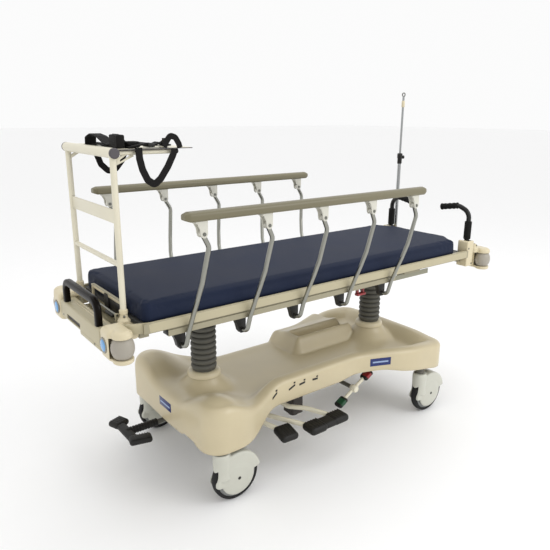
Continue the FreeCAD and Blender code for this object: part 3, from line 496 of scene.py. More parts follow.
def cover_rows(inset):
    """x stations and half widths of the plan, with quarter-round corners."""
    rows = []
    lo, hi = COVER_X[0] + inset, COVER_X[1] - inset
    r = COVER_R - inset
    for k in range(13):
        a = rad(90 * k / 12)
        x = lo + r - r * math.cos(a)
        rows.append((x, half_width(x, inset) - r + r * math.sin(a)))
    inner = np.linspace(lo + r, hi - r, 190)[1:-1]
    rows += [(x, float(half_width(x, inset))) for x in inner]
    for k in range(13):
        a = rad(90 * (12 - k) / 12)
        x = hi - r + r * math.cos(a)
        rows.append((x, half_width(x, inset) - r + r * math.sin(a)))
    return rows


def cover_height(x, y, edge):
    """Top of the cover: rim, tray floor, column mounds, corner pillows and the storage bin."""
    foot = 1 - smoothstep(x, -0.62, -0.36)
    head = smoothstep(x, 0.3, 0.6)
    low_far = smoothstep(y, 0.05, 0.15) * smoothstep(x, -0.52, -0.34) * (1 - smoothstep(x, -0.02, 0.08))
    near_lip = smoothstep(-y, 0.05, 0.15) * smoothstep(x, -0.46, -0.28) * (1 - smoothstep(x, 0.3, 0.6))
    rim = 0.364 + 0.006 * foot + 0.022 * head - 0.026 * low_far + 0.032 * near_lip
    for side in SIDES.values():
        rim = rim - 0.01 * np.exp(-(((x - 0.62) / 0.09) ** 2 + ((y - side * 0.3) / 0.09) ** 2) ** 1.2)
    floor = 0.324 + 0.032 * (1 - smoothstep(x, -0.62, -0.42)) + 0.01 * smoothstep(x, 0.5, 0.66)
    floor = floor + 0.024 * (1 - smoothstep(x, -0.56, -0.38)) * smoothstep(np.abs(y), 0.09, 0.19)
    wide = 0.045 + 0.05 * foot + 0.06 * head
    z = rim + (floor - rim) * smoothstep(edge, 0.004, 0.02 + wide)
    for side in SIDES.values():
        d = ((x + 0.642) / 0.135) ** 2 + ((y - side * 0.264) / 0.16) ** 2
        z = soft_max(z, 0.334 + 0.102 * np.exp(-d), 0.018)
    for cx in COLUMN_X.values():
        d = np.hypot(x - cx, y)
        mound = 0.322 + 0.08 * (1 - smoothstep(d, 0.045, 0.17)) + 0.014 * (1 - smoothstep(d, 0.055, 0.09))
        z = soft_max(z, mound, 0.02)
    bx = np.maximum(np.abs(x - 0.205) - 0.17, 0)
    d = np.hypot(bx * np.where(x > 0.205, 1.6, 1.0), np.maximum(0.056 - y, 0))
    top = 0.416 - 0.024 * smoothstep(y, 0.13, 0.24)
    z = soft_max(z, floor - 0.012 + (top - floor + 0.012) * (1 - smoothstep(d, 0.0, 0.072)), 0.012)
    slot = np.hypot(np.maximum(np.abs(x - 0.215) - 0.16, 0), np.maximum(np.abs(y - 0.1) - 0.024, 0))
    return z - 0.06 * (1 - smoothstep(slot, 0.002, 0.02))


def cover_low(x, y):
    """Lower edge of the skirt."""
    z = 0.238 + 0.052 * smoothstep(x, -0.56, -0.36) * (1 - smoothstep(x, 0.3, 0.72))
    z = z + 0.014 * smoothstep(x, 0.02, 0.15) * (1 - smoothstep(x, 0.27, 0.4))
    end = 1 - smoothstep(x, -0.722, -0.66)
    z = z - 0.016 * end * (1 - smoothstep(abs(y), 0.02, 0.18))
    return z + 0.04 * end * (1 - smoothstep(abs(y + 0.19), 0.03, 0.075))


def base_cover():
    """Moulded cover: a net of heights over the plan, with a rounded-over skirt round it."""
    rows = cover_rows(SKIRT)
    n, across = len(rows), 101
    xs = np.array([[x] * across for x, _ in rows])
    ys = np.array([[w * v for v in np.linspace(-1, 1, across)] for _, w in rows])
    outline = [(0, j) for j in range(across - 1)] + [(i, across - 1) for i in range(n - 1)]
    outline += [(n - 1, j) for j in range(across - 1, 0, -1)] + [(i, 0) for i in range(n - 1, 0, -1)]
    ring_xy = np.array([(xs[i, j], ys[i, j]) for i, j in outline])
    edge = np.full(xs.shape, 9.0)
    nxt = np.roll(ring_xy, -1, axis=0)
    for (ax, ay), (bx, by) in zip(ring_xy, nxt):
        dx, dy = bx - ax, by - ay
        t = np.clip(((xs - ax) * dx + (ys - ay) * dy) / max(dx * dx + dy * dy, 1e-12), 0, 1)
        edge = np.minimum(edge, np.hypot(xs - ax - t * dx, ys - ay - t * dy))
    zs = cover_height(xs, ys, edge)
    verts = [(xs[i, j], ys[i, j], zs[i, j]) for i in range(n) for j in range(across)]
    faces = grid_faces(n, across)
    tangent = np.roll(ring_xy, -1, axis=0) - np.roll(ring_xy, 1, axis=0)
    tangent /= np.linalg.norm(tangent, axis=1)[:, None]
    normal = np.stack([tangent[:, 1], -tangent[:, 0]], axis=1)
    if (normal * (ring_xy - ring_xy.mean(axis=0))).sum() < 0:
        normal = -normal
    top = np.array([zs[i, j] for i, j in outline])
    low = np.array([float(cover_low(x, y)) for x, y in ring_xy])
    foot = 1 - smoothstep(ring_xy[:, 0], -0.62, -0.4)
    round_over = 0.45 + foot * (0.25 + 0.5 * smoothstep(np.abs(ring_xy[:, 1]), 0.1, 0.26))
    previous = [i * across + j for i, j in outline]
    m = len(previous)
    steps = [(0.007, 0.0004, None), (0.014, 0.002, None), (0.021, 0.0055, None), (0.027, 0.0105, None),
             (0.032, 0.017, None), (0.036, 0.0255, None), (0.039, 0.037, None), (0.04, 0.05, None),
             (0.04, None, 0.012), (0.0395, None, 0.002), (0.037, None, 0.0), (0.0345, None, 0.002),
             (0.034, None, 0.03)]
    for out, drop, above in steps:
        z = top - drop * round_over if drop is not None else low + above
        ring_now = ring_xy + normal * out
        now = list(range(len(verts), len(verts) + m))
        verts += [(p[0], p[1], h) for p, h in zip(ring_now, z)]
        faces += [(previous[k], now[k], now[(k + 1) % m], previous[(k + 1) % m]) for k in range(m)]
        previous = now
    put(make("base_cover", verts, faces, "base", sharp=70), "base", "base_shroud")


def collars():
    profile = [(0.05, 0.405), (0.072, 0.405), (0.071, 0.4155), (0.0665, 0.4225), (0.059, 0.4275),
               (0.05, 0.4285)]
    for place, x in COLUMN_X.items():
        collar = lathe("column_collar_" + place, profile, (x, 0, 0), "shell")
        put(collar, "base", "column_collars")


def bellows():
    low, high = BELLOWS_Z
    profile = [(0.044, low), (0.05, low)]
    for k in range(1, FOLDS * 10):
        z = low + 0.004 + (high - low - 0.008) * k / (FOLDS * 10)
        profile.append((0.0455 + 0.0095 * math.sin(math.pi * (k / 10 % 1)) ** 0.6, z))
    profile += [(0.05, high), (0.044, high)]
    for place, x in COLUMN_X.items():
        sleeve = lathe("bellows_sleeve_" + place, profile, (x, 0, 0), "bellows", steps=64, sharp=75)
        put(sleeve, "base", "bellows_" + place)
        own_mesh(sleeve)


# ---- casters ---------------------------------------------------------------------------------
CASTER_X = {"foot": -0.66, "head": 0.51}
CASTER_Y, TRAIL, WHEEL_R, WHEEL_W = 0.33, 0.06, 0.1, 0.032
AXLE_Z = FLOOR_Z + WHEEL_R
HOOD_R, HOOD_HALF = 0.105, 0.0295


def hood_mesh():
    """Caster hood and swivel pin, about the swivel axis, wheel trailing towards +X."""
    a, z = TRAIL, AXLE_Z
    dome = [(a + HOOD_R * math.cos(rad(deg)), z + 0.004 + HOOD_R * math.sin(rad(deg)))
            for deg in range(12, 128, 5)]
    outline = [(a + HOOD_R * math.cos(rad(8)), z + 0.016)] + dome
    outline += [(-0.006, z + 0.06), (-0.022, z + 0.026), (-0.038, z + 0.006), (-0.04, z - 0.01),
                (-0.03, z - 0.022), (-0.008, z - 0.022), (a, z)]
    outline = [(px, -HOOD_HALF, pz) for px, pz in outline]
    arch = slab("hood", outline, (0, 2 * HOOD_HALF, 0), "caster", 0.021, 6)
    cheek = [(0.0, 0.0335), (0.012, 0.0335), (0.046, 0.0325), (0.066, 0.0295), (0.074, 0.0255),
             (0.076, 0.02), (0.0, 0.02)]
    cheeks = [lathe("disc", [(r, s * h) for r, h in cheek], (a, 0, z), "caster", "y", 64) for s in (-1, 1)]
    stem = lathe("stem", [(0.0, 0.002), (0.03, 0.002), (0.0375, 0.012), (0.0345, 0.026), (0.033, 0.04),
                          (0.0345, 0.09), (0.0345, 0.104), (0.031, 0.118), (0.0, 0.118)], (0, 0, z), "caster")
    room = lathe("room", disc(0.103, -0.0195, 0.0195), (a, 0, z), "caster", "y", 64)
    hood = moulded("hood", [arch] + cheeks + [stem], "caster", 0.0022, 5, 0.5)
    pin = lathe("pin", [(0.0, 0.112), (0.02, 0.112), (0.02, 0.131), (0.018, 0.1335), (0.011, 0.1335),
                        (0.011, 0.16), (0.0, 0.16)], (0, 0, z), "steel", steps=32)
    return join("hood_and_pin", [cut(hood, room), pin])


def wheel(tag, axle):
    """Tyre and hub."""
    half = WHEEL_W / 2
    tyre = mirror([(WHEEL_R, half - 0.008), (0.0985, half - 0.003), (0.094, half), (0.086, half)])
    hub = mirror([(0.0865, half - 0.004), (0.084, half - 0.001), (0.078, half + 0.001),
                  (0.009, half + 0.001)])
    return join("wheel_" + tag, [lathe("tyre_" + tag, tyre, axle, "tyre", "y", 72),
                                 lathe("hub_" + tag, hub, axle, "rim", "y", 72)])


def axle_cap(name, x, y, way):
    """Screw cap facing along y, with a dark six-sided disc as painted shade in place of its hex hole."""
    rim = [(0.0, 0.0), (0.0055, 0.0), (0.0075, 0.0004), (0.0085, 0.0), (0.0085, -0.001), (0.0, -0.001)]
    trim = lathe("t", [(r, h * way) for r, h in rim], (x, y + way * 0.0012, AXLE_Z), "caster", "y", 24)
    # Painted shade: a dark six-sided disc where the hex hole's recess would be shaded.
    hole = lathe("h", disc(0.0074, 0.0, -0.003 * way), (x, y + way * 0.0022, AXLE_Z), "mark", "y", 6)
    return join(name, [trim, hole])


def casters():
    hood = hood_mesh()
    for place, x in CASTER_X.items():
        for side, s in SIDES.items():
            y = s * CASTER_Y
            tag = place + "_" + side
            piece = moved(hood, "hood_" + tag, Matrix.Translation((x, y, 0)))
            put(piece, "caster_" + tag, "caster_hood_" + tag)
            axle = (x + TRAIL, y, AXLE_Z)
            put(wheel(tag, axle), "wheel_" + tag, "caster_wheel_" + tag)
            for way in (-1, 1):
                name = "axle_cap_%s_%s" % (tag, "in" if way * s < 0 else "out")
                put(axle_cap(name, axle[0], y + way * 0.0318, way), "caster_" + tag)
    bpy.data.objects.remove(hood)


# ---- foot controls ---------------------------------------------------------------------------
PIVOT = (-0.13, 0.235)    # y and z of the near pedals' shaft
BRAKE_X, BRAKE_Y, BRAKE_Z, BRAKE_SLOPE = 0.14, 0.238, 0.222, rad(30)
END_PEDAL_Y, END_PEDAL_Z = 0.07, 0.205


def pad(centre, size, edge, ribs=0, turn=0.0, tilt=0.0, lean=0.0):
    """Rubber foot pad with moulded ribs across its top."""
    sx, sy, sz = (v / 2 for v in size)
    pieces = [block("p", (-sx, sx), (-sy, sy), (-sz, sz), "pad", edge, 5)]
    half = 0.0016
    for k in range(ribs):
        x = sx * 0.8 * ((k + 0.5) / ribs * 2 - 1)
        pieces.append(block("r", (x - half, x + half), (-sy * 0.78, sy * 0.78), (sz - 0.001, sz + 0.0014),
                            "pad", 0.0008, 2))
    obj = join("pad", pieces)
    obj.data.transform(Matrix.Translation(centre) @ Matrix.Rotation(lean, 4, "X")
                       @ Matrix.Rotation(turn, 4, "Z") @ Matrix.Rotation(tilt, 4, "Y"))
    return obj


def pedal_arm(points, bend):
    """Bent arm from the barrel on the shaft to the pad."""
    return [pipe("a", points, 0.0108, "paint", bend),
            lathe("b", tube(0.0092, 0.015, -0.014, 0.014), points[0], "paint", "x", 28)]


def pedals():
    for side, s in SIDES.items():
        pieces = pedal_arm([(-0.4, *PIVOT), (-0.392, -0.185, 0.226), (-0.372, -0.232, 0.208),
                            (-0.335, -0.3, 0.194)], 0.05)
        pieces.append(pad((-0.331, -0.312, 0.19), (0.084, 0.086, 0.034), 0.016, 5, rad(-3), 0.0, rad(13)))
        own(placed(pieces, "raise_pedal_piece_" + side, flip_y=s > 0), "raise_pedal_" + side)
        pieces = pedal_arm([(-0.352, *PIVOT), (-0.335, -0.172, 0.214), (-0.292, -0.232, 0.206),
                            (-0.222, -0.345, 0.198)], 0.06)
        pieces += pedal_arm([(-0.232, *PIVOT), (-0.212, -0.168, 0.212), (-0.15, -0.232, 0.21),
                             (-0.086, -0.34, 0.198)], 0.06)
        pieces += [pad((-0.212, -0.36, 0.199), (0.088, 0.08, 0.036), 0.0165, 5),
                   pad((-0.082, -0.356, 0.199), (0.088, 0.076, 0.036), 0.0165, 5),
                   block("m", (-0.2, -0.095), (-0.392, -0.326), (0.183, 0.213), "pad", 0.012, 4)]
        own(placed(pieces, "lower_pedal_piece_" + side, flip_y=s > 0), "lower_pedal_" + side)


def brake():
    """Cross shaft with a rocking fork at each end: green pad to let go, red pad to brake."""
    pieces = [pipe("s", [(BRAKE_X, -0.23, BRAKE_Z), (BRAKE_X, 0.23, BRAKE_Z)], 0.01, "steel")]
    hub = mirror([(0.0165, 0.013), (0.014, 0.017), (0.0, 0.017)])
    for s in SIDES.values():
        hinge = Vector((BRAKE_X, s * BRAKE_Y, BRAKE_Z))
        along = Vector((math.cos(BRAKE_SLOPE), 0, math.sin(BRAKE_SLOPE)))
        pieces.append(pipe("f", [hinge - along * 0.078, hinge + along * 0.078], 0.0085, "paint"))
        pieces.append(lathe("c", hub, hinge, "paint", "y", 28))
        for at, colour in ((hinge - along * 0.094, "green"), (hinge + along * 0.094, "red")):
            pieces.append(pad(at, (0.058, 0.046, 0.024), 0.0115, tilt=-BRAKE_SLOPE))
            cap = block("k", (-0.016, 0.016), (-0.024, 0.014), (-0.006, 0.0136), colour, 0.004, 3)
            cap.data.transform(Matrix.Translation(at) @ Matrix.Rotation(-BRAKE_SLOPE, 4, "Y"))
            pieces.append(cap)
    own(join("brake_fork_set", pieces), "brake_forks")


def end_pedal():
    """Ribbed tube on the foot end's shaft, with a cross bar and two pads."""
    y, z = END_PEDAL_Y, END_PEDAL_Z
    x = -0.735
    sleeve = [(0.0, x)]
    while x > -0.862:
        sleeve += [(0.0165, x), (0.0165, x - 0.006), (0.014, x - 0.0075), (0.014, x - 0.011)]
        x -= 0.0125
    sleeve.append((0.0, x))
    pieces = [pipe("s", [(-0.74, y, z), (-0.56, y, z)], 0.01, "steel"),
              lathe("r", sleeve, (0, y, z), "pad", "x", 32, 30),
              block("c", (-0.89, -0.85), (y - 0.088, y + 0.088), (z - 0.01, z + 0.011), "pad", 0.009, 4),
              pad((-0.868, y + 0.088, z + 0.001), (0.07, 0.062, 0.027), 0.0125, 5, rad(20)),
              pad((-0.848, y - 0.086, z + 0.001), (0.092, 0.052, 0.026), 0.012, 7, rad(-14))]
    own(join("end_pedal_piece", pieces), "end_pedal")


# ---- litter ----------------------------------------------------------------------------------
BUMPER_X, BUMPER_Y = 1.005, 0.298
ROLL_LOW, ROLL_HIGH = 0.707, 0.777
END_X, LENS_Y, LENS_Z, LENS_R = 1.05, 0.243, 0.742, 0.027
PUSH_BAR = (-1.03, 0.163)
POST_X = {-1: 0.96, 1: 0.955}
POST_Y = {-1: 0.2125, 1: 0.268}
RUN_FIT = {-1: 0.0105, 1: 0.01}
SOCKET_R = {-1: 0.013, 1: 0.017}


def corner(tag, end, s):
    """Soft corner moulding with a duck-bill lip over the roller and a socket for the upright."""
    socket, bumper, post = SOCKET_R[end], (BUMPER_X, BUMPER_Y, 0), (POST_X[end], POST_Y[end], 0)
    pieces = [block("a", (0.971, 1.0478), (0.2068, 0.292), (0.691, 0.8015), "shell", 0.018, 5),
              block("a", (0.9275, 1.000), (0.208, 0.262), (0.742, 0.7885), "shell", 0.012, 4),
              lathe("b", [(0.0, 0.777), (0.0335, 0.777), (0.035, 0.783), (0.032, 0.795), (0.022, 0.8025),
                          (0.0, 0.803)], bumper, "shell"),
              lathe("c", [(0.0, 0.6895), (0.03, 0.6895), (0.035, 0.694), (0.0352, 0.707), (0.0, 0.707)],
                    bumper, "shell"),
              lathe("d", [(0.0, 0.782), (socket + 0.01, 0.782), (socket + 0.0085, 0.804),
                          (socket + 0.001, 0.811), (socket, 0.825), (0.0, 0.825)], post, "shell")]
    body = moulded("corner", pieces, "shell", 0.0024, 5, 0.55)
    roll = lathe("t", disc(0.0434, ROLL_LOW - 0.0008, ROLL_HIGH + 0.0008), bumper, "shell")
    bore = lathe("t", disc(RUN_FIT[end] + 0.0004, 0.752, 0.84), post, "shell", steps=32)
    seat = lathe("t", disc(LENS_R + 0.0006, END_X - 0.0045, END_X + 0.01), (0, LENS_Y, LENS_Z), "shell", "x")
    body = cut(body, roll, bore, seat)
    axle = lathe("x", disc(0.006, 0.7, 0.782), bumper, "bolt", steps=24)
    grip = lathe("s", [(0.0, 0.0), (0.0042, 0.0), (0.0042, 0.0016), (0.003, 0.0022), (0.0, 0.0022)],
                 (post[0] + 0.004, post[1] + socket + 0.0004, 0.818), "bolt", "y", 20)
    return placed([body, axle, grip], "corner_shell_" + tag, end < 0, s < 0)


def lens(tag, end, s):
    """Blue lens in its bezel, on the outer face of a corner."""
    dome = [(0.0, -0.0045), (0.0205, -0.0045), (0.0205, 0.0012)]
    dome += [(0.0205 * math.cos(rad(a)), 0.0014 + 0.004 * math.sin(rad(a))) for a in range(6, 90, 6)]
    dome += [(0.0, 0.0054)]
    bezel = [(0.02, -0.0045), (LENS_R, -0.0045), (LENS_R, 0.0012), (0.0245, 0.0026), (0.0208, 0.0016),
             (0.02, -0.0045)]
    at = (end * (END_X - 0.001), s * LENS_Y, LENS_Z)
    return join("lens_" + tag, [lathe("g", [(r, end * h) for r, h in profile], at, mat, "x", 48)
                                for profile, mat in ((dome, "lens"), (bezel, "bezel"))])


def bumper_roller(tag, end, s):
    """Barrel-shaped grey roller."""
    mid, half = (ROLL_LOW + ROLL_HIGH) / 2, (ROLL_HIGH - ROLL_LOW) / 2 - 0.0003
    profile = [(0.0062, -half), (0.026, -half)]
    for k in range(25):
        a = rad(-78 + 156 * k / 24)
        profile.append((0.039 * math.sqrt(1 - 0.52 * math.sin(a) ** 2), half * math.sin(a)))
    profile += [(0.026, half), (0.0062, half), (0.0062, -half)]
    return lathe("roller_" + tag, profile, (end * BUMPER_X, s * BUMPER_Y, mid), "roller", steps=56)


def corners():
    for place, end in ENDS.items():
        for side, s in SIDES.items():
            tag = place + "_" + side
            put(corner(tag, end, s), "litter", "corner_housings")
            put(lens(tag, end, s), "litter", "corner_lenses")
            own(bumper_roller(tag, end, s), "bumper_roller_" + tag)


def foot_beam():
    beam = block("beam", (-1.0455, -0.985), (-0.2055, 0.2055), (0.7165, 0.7825), "beam", 0.008, 4)
    slot = block("slot", (-1.055, -1.0405), (-0.01, 0.13), (0.7265, 0.7445), "beam", 0.002, 2)
    parts = [cut(beam, slot),
             block("skirt", (-1.045, -1.018), (-0.2055, -0.002), (0.7025, 0.7225), "beam", 0.006, 3),
             block("ledge", (-0.99, -0.9265), (-0.205, 0.205), (0.7245, 0.7438), "beam", 0.003, 3)]
    parts += [block("ridge", (x - 0.0022, x + 0.0022), (-0.145, 0.145), (0.7795, 0.7838), "shell", 0.001, 2)
              for x in (-1.01, -0.998)]
    # Painted shade: a dark sheet at the back of the slot.
    parts.append(block("dark", (-1.0418, -1.0402), (-0.0085, 0.1285), (0.728, 0.743), "mark", 0.0))
    screw = [(0.0, -1.0468), (0.004, -1.0462), (0.0045, -1.044), (0.0, -1.044)]
    parts += [lathe("v", screw, (0, y, z), "bolt", "x", 20) for y, z in ((-0.15, 0.714), (0.172, 0.73))]
    put(join("foot_beam_piece", parts), "litter", "foot_beam")


def push_bar():
    """Glossy flat-sided hoop with a pale strip along its top as a painted highlight."""
    x, y = PUSH_BAR
    path = fillet([(x, -y, 0.783), (x, -y, 0.866), (x, y, 0.866), (x, y, 0.783)], 0.045, 9)
    quarter = ((1, .5), (.85, .85), (.5, 1))
    upper = quarter + tuple((-a, b) for a, b in quarter[::-1])
    section = [(a * 0.013, b * 0.0118) for a, b in upper + tuple((a, -b) for a, b in upper[::-1])]
    bar = sweep("push_bar_tube", path, section, "gloss_black", up=(1, 0, 0), sharp=50)
    # Painted highlight: a pale strip along the top of the bar.
    ridge = sweep("ridge", [p + Vector((-0.0085, 0, 0.0085)) for p in path[2:-2]], ring(0.0016, 8), "bezel")
    put(join("push_bar_piece", [bar, ridge]), "litter", "push_bar")


def foot_latch():
    rod = pipe("r", [(-0.958, 0.118, 0.7985), (-0.958, -0.15, 0.7985)], 0.0042, "post", steps=16)
    lever = block("l", (-0.97, -0.946), (-0.128, -0.06), (0.786, 0.797), "black", 0.004, 3)
    clips = [block("c", (-0.964, -0.95), (y - 0.006, y + 0.006), (0.7445, 0.804), "beam", 0.002, 2)
             for y in (-0.142, 0.11)]
    put(join("foot_latch", [rod, lever] + clips), "litter")


def mattress_stop():
    x = (-0.9362, -0.9275)
    parts = [block("m", x, y, (0.8265, 0.8385), "shell", 0.0015, 2) for y in ((-0.15, -0.014), (0.02, 0.15))]
    parts += [block("m", x, (y - 0.005, y + 0.005), (0.7705, 0.8385), "shell", 0.0015, 2)
              for y in (-0.15, 0.15)]
    parts.append(block("m", (-0.9385, -0.9272), (-0.017, 0.023), (0.776, 0.834), "black", 0.003, 3))
    parts.append(block("m", (-0.9335, -0.929), (-0.143, -0.012), (0.776, 0.826), "black", 0.001, 2))
    put(join("mattress_stop", parts), "litter")


def side_mouldings():
    """Mouldings along the upper half of the side members, swept round into the foot corners."""
    section = [(-0.006, -0.019), (0.006, -0.019), (0.0068, 0.01), (0.003, 0.0165), (-0.003, 0.0165),
               (-0.0068, 0.01)]
    for side, s in SIDES.items():
        path = fillet([(0.866, s * 0.2885, 0.786), (-0.905, s * 0.2885, 0.786), (-0.958, s * 0.262, 0.784),
                       (-0.985, s * 0.24, 0.782)], 0.05, 8)
        strip = sweep("side_moulding_" + side, path, section, "beam", up=(0, 0, 1))
        put(strip, "litter")
        cap = block("tube_cap_" + side, (-0.84, -0.8372), (s * 0.256, s * 0.291), (0.7405, 0.7615), "black",
                    0.001, 2)
        put(cap, "litter")


# ---- monitor frame and straps ----------------------------------------------------------------
FRAME_X, FRAME_Y, ARM_Y, SHELF_Z = -0.96, 0.2125, 0.205, 1.355
ARM_END = FRAME_X + 0.222
STRAP_Z = 1.3657
ALONG, ACROSS = (1, 0, 0), (0, 1, 0)


def shelf_arm(s):
    """One upright, its ring at the socket, the arm under the shelf with its brace, and the end caps."""
    x, y, arm_y = FRAME_X, s * FRAME_Y, s * ARM_Y
    pieces = [pipe("m", [(x, y, 0.755), (x, y, SHELF_Z)], 0.0105, "paint", steps=28),
              lathe("n", [(0.0106, 0.8255), (0.0145, 0.8255), (0.0145, 0.838), (0.0106, 0.842),
                          (0.0106, 0.8255)], (x, y, 0), "shell", steps=32),
              pipe("m", [(x, arm_y, SHELF_Z), (ARM_END, arm_y, SHELF_Z)], 0.008, "paint", steps=20),
              lathe("o", [(0.0, 0.0), (0.0083, 0.0), (0.0083, 0.008), (0.006, 0.01), (0.0, 0.01)],
                    (ARM_END, arm_y, SHELF_Z), "black", "x", 24)]
    if s < 0:
        brace = [(0.006, 1.312), (0.01, 1.334), (0.05, 1.3555), (0.072, 1.3555), (0.074, 1.342)]
        hole = [(0.026, 1.3265), (0.028, 1.3335), (0.052, 1.3485), (0.06, 1.344)]
        plate = slab("q", [(x + a, arm_y, z) for a, z in brace], (0, 0.004, 0), "paint", 0.0)
        tool = slab("q", [(x + a, arm_y - 0.01, z) for a, z in hole], (0, 0.03, 0), "paint", 0.0)
        pieces.append(bevel(cut(plate, tool), 0.0008, 2))
    else:
        brace = [(0.006, 1.314), (0.006, 1.328), (0.046, 1.349), (0.054, 1.342)]
        pieces.append(slab("q", [(x + a, arm_y, z) for a, z in brace], (0, -0.004, 0), "paint", 0.001, 2))
    end = [(0.0, 0.012), (0.0168, 0.012), (0.0168, 0.019), (0.014, 0.022), (0.0, 0.022)]
    pieces.append(lathe("e", [(r, s * (FRAME_Y + h)) for r, h in end], (x, 0, SHELF_Z), "cap", "y", 32))
    return pieces


def monitor():
    x, y = FRAME_X, FRAME_Y
    pieces = shelf_arm(-1) + shelf_arm(1)
    pieces.append(pipe("t", [(x, -y - 0.012, SHELF_Z), (x, y + 0.012, SHELF_Z)], 0.0165, "paint", steps=32))
    pieces.append(block("p", (x - 0.003, x + 0.003), (-y, y), (1.129, 1.175), "paint", 0.0018, 3))
    pieces.append(pipe("r", [(x, -y, 0.993), (x, y, 0.993)], 0.009, "paint", steps=24))
    put(join("monitor_frame_piece", pieces), "litter", "monitor_frame")
    low = SHELF_Z + 0.0082
    sheet = block("s", (x + 0.019, -0.68), (-0.222, 0.222), (low, low + 0.0028), "cap", 0.0009, 2)
    skin = block("s", (x + 0.022, -0.683), (-0.219, 0.219), (low + 0.002, low + 0.0032), "paint", 0.0004, 2)
    put(join("shelf_plate", [sheet, skin]), "litter", "monitor_shelf")


def ribbon(points, width_dir, width, thick, bend=0.02, face=False):
    """Flat webbing along a path: width_dir points across the band, or out of its face."""
    path = fillet(points, bend, 6)
    fixed = Vector(width_dir).normalized()
    h, t = width / 2, thick / 2
    section = ((-1, -0.6), (-0.97, -1), (0.97, -1), (1, -0.6), (1, 0.6), (0.97, 1), (-0.97, 1), (-1, 0.6))
    verts = []
    for i, p in enumerate(path):
        a = path[max(i - 1, 0)]
        b = path[min(i + 1, len(path) - 1)]
        other = (b - a).normalized().cross(fixed).normalized()
        w, normal = (other, fixed) if face else (fixed, other)
        verts += [p + w * (h * u) + normal * (t * v) for u, v in section]
    return make("ribbon", verts, tube_faces(len(path), len(section)), "strap")


def hanging_loops():
    """The two loops that hang over the shelf's long edges, flat to its sides."""
    near = [(-0.878, -0.2265, STRAP_Z + 0.004), (-0.876, -0.2265, 1.335), (-0.868, -0.2268, 1.3),
            (-0.852, -0.227, 1.266), (-0.829, -0.227, 1.2505), (-0.806, -0.2268, 1.268),
            (-0.778, -0.2266, 1.306), (-0.758, -0.2264, 1.342), (-0.749, -0.2262, 1.362)]
    far = [(-0.852, 0.2262, 1.362), (-0.848, 0.2266, 1.325), (-0.834, 0.227, 1.285), (-0.806, 0.227, 1.258),
           (-0.774, 0.2268, 1.266), (-0.748, 0.2266, 1.296), (-0.732, 0.2262, 1.335), (-0.724, 0.2262, 1.362)]
    return [ribbon(loop, ACROSS, 0.024, 0.0022, 0.012, True) for loop in (near, far)]


def straps():
    """Webbing over the shelf: two hanging loops, and the slack band with its buckles."""
    top = STRAP_Z
    hump = [(-0.93, 0.055, top + 0.003), (-0.934, 0.04, top + 0.03), (-0.93, 0.008, top + 0.042),
            (-0.925, -0.04, top + 0.034), (-0.92, -0.085, top + 0.014), (-0.918, -0.12, top + 0.01)]
    low = [(-0.925, 0.09, top + 0.0025), (-0.925, 0.03, top + 0.004), (-0.922, -0.03, top + 0.01),
           (-0.918, -0.09, top + 0.004), (-0.916, -0.15, top + 0.004)]
    over_buckle = [(-0.925, -0.16, top + 0.045), (-0.905, -0.168, top + 0.022), (-0.885, -0.172, top + 0.006)]
    lying = [(-0.9, -0.185, top + 0.004), (-0.86, -0.19, top + 0.012), (-0.835, -0.188, top + 0.016),
             (-0.812, -0.188, top + 0.01), (-0.792, -0.19, top + 0.018), (-0.772, -0.192, top + 0.008),
             (-0.758, -0.194, top + 0.01)]
    arch = [(-0.786, -0.2215, top + 0.004), (-0.772, -0.2215, top + 0.028), (-0.762, -0.2218, top + 0.04),
            (-0.744, -0.222, top + 0.034), (-0.732, -0.2222, top + 0.014), (-0.728, -0.2222, top)]
    back = [(-0.765, -0.19, top + 0.03), (-0.745, -0.15, top + 0.022), (-0.735, -0.09, top + 0.006),
            (-0.73, 0.000, top + 0.003), (-0.726, 0.12, top + 0.004), (-0.724, 0.223, top + 0.003)]
    tail = [(-0.852, 0.223, top + 0.003), (-0.862, 0.12, top + 0.003), (-0.88, 0.02, top + 0.003),
            (-0.89, -0.06, top + 0.003), (-0.892, -0.14, top + 0.003)]
    pieces = hanging_loops() + [
        ribbon(hump, ALONG, 0.04, 0.003, 0.012),
        ribbon(low, ALONG, 0.036, 0.003),
        block("e", (-0.936, -0.908), (-0.194, -0.128), (top + 0.002, top + 0.044), "strap", 0.005, 3),
        ribbon(over_buckle, ACROSS, 0.05, 0.003, 0.012),
        block("g", (-0.896, -0.852), (-0.188, -0.14), (top + 0.002, top + 0.022), "strap", 0.006, 3),
        ribbon(lying, ACROSS, 0.046, 0.005, 0.008),
        block("i", (-0.838, -0.812), (-0.214, -0.166), (top + 0.004, top + 0.017), "black", 0.004, 3),
        ribbon(arch, ACROSS, 0.02, 0.0024, 0.012, True),
        ribbon(back, ALONG, 0.024, 0.0024),
        ribbon(tail, ALONG, 0.024, 0.0024)]
    put(join("shelf_webbing", pieces), "litter", "shelf_straps")


# ---- side rails ------------------------------------------------------------------------------
POSTS = 5
RAIL_Y, PIN_Z, PIN_LEAD = 0.393, 1.104, 0.02
GRIP_HALF, GRIP_LOW, GRIP_HIGH, GRIP_ROUND = 0.0225, 1.148, 1.18, 0.015


def post_x(i):
    return -0.771 + 0.2606 * i


def rail_post(x):
    """Bent tube from its pivot under the litter to the eye below the hand rail, drawn on the far side."""
    points = [(x, 0.236, 0.682), (x, 0.292, 0.682), (x + 0.006, 0.307, 0.748), (x + 0.014, 0.332, 0.82),
              (x + 0.018, 0.35, 0.866), (x + 0.029, 0.368, 0.93), (x + 0.047, 0.388, 1.056),
              (x + PIN_LEAD, RAIL_Y, PIN_Z)]
    return [pipe("a", points, 0.0085, "post", [0.022, 0.05, 0.06, 0.06, 0.06, 0.034]),
            lathe("b", tube(0.0042, 0.011, 0.384, 0.402), (x + PIN_LEAD, 0, PIN_Z), "clevis", "y", 28)]


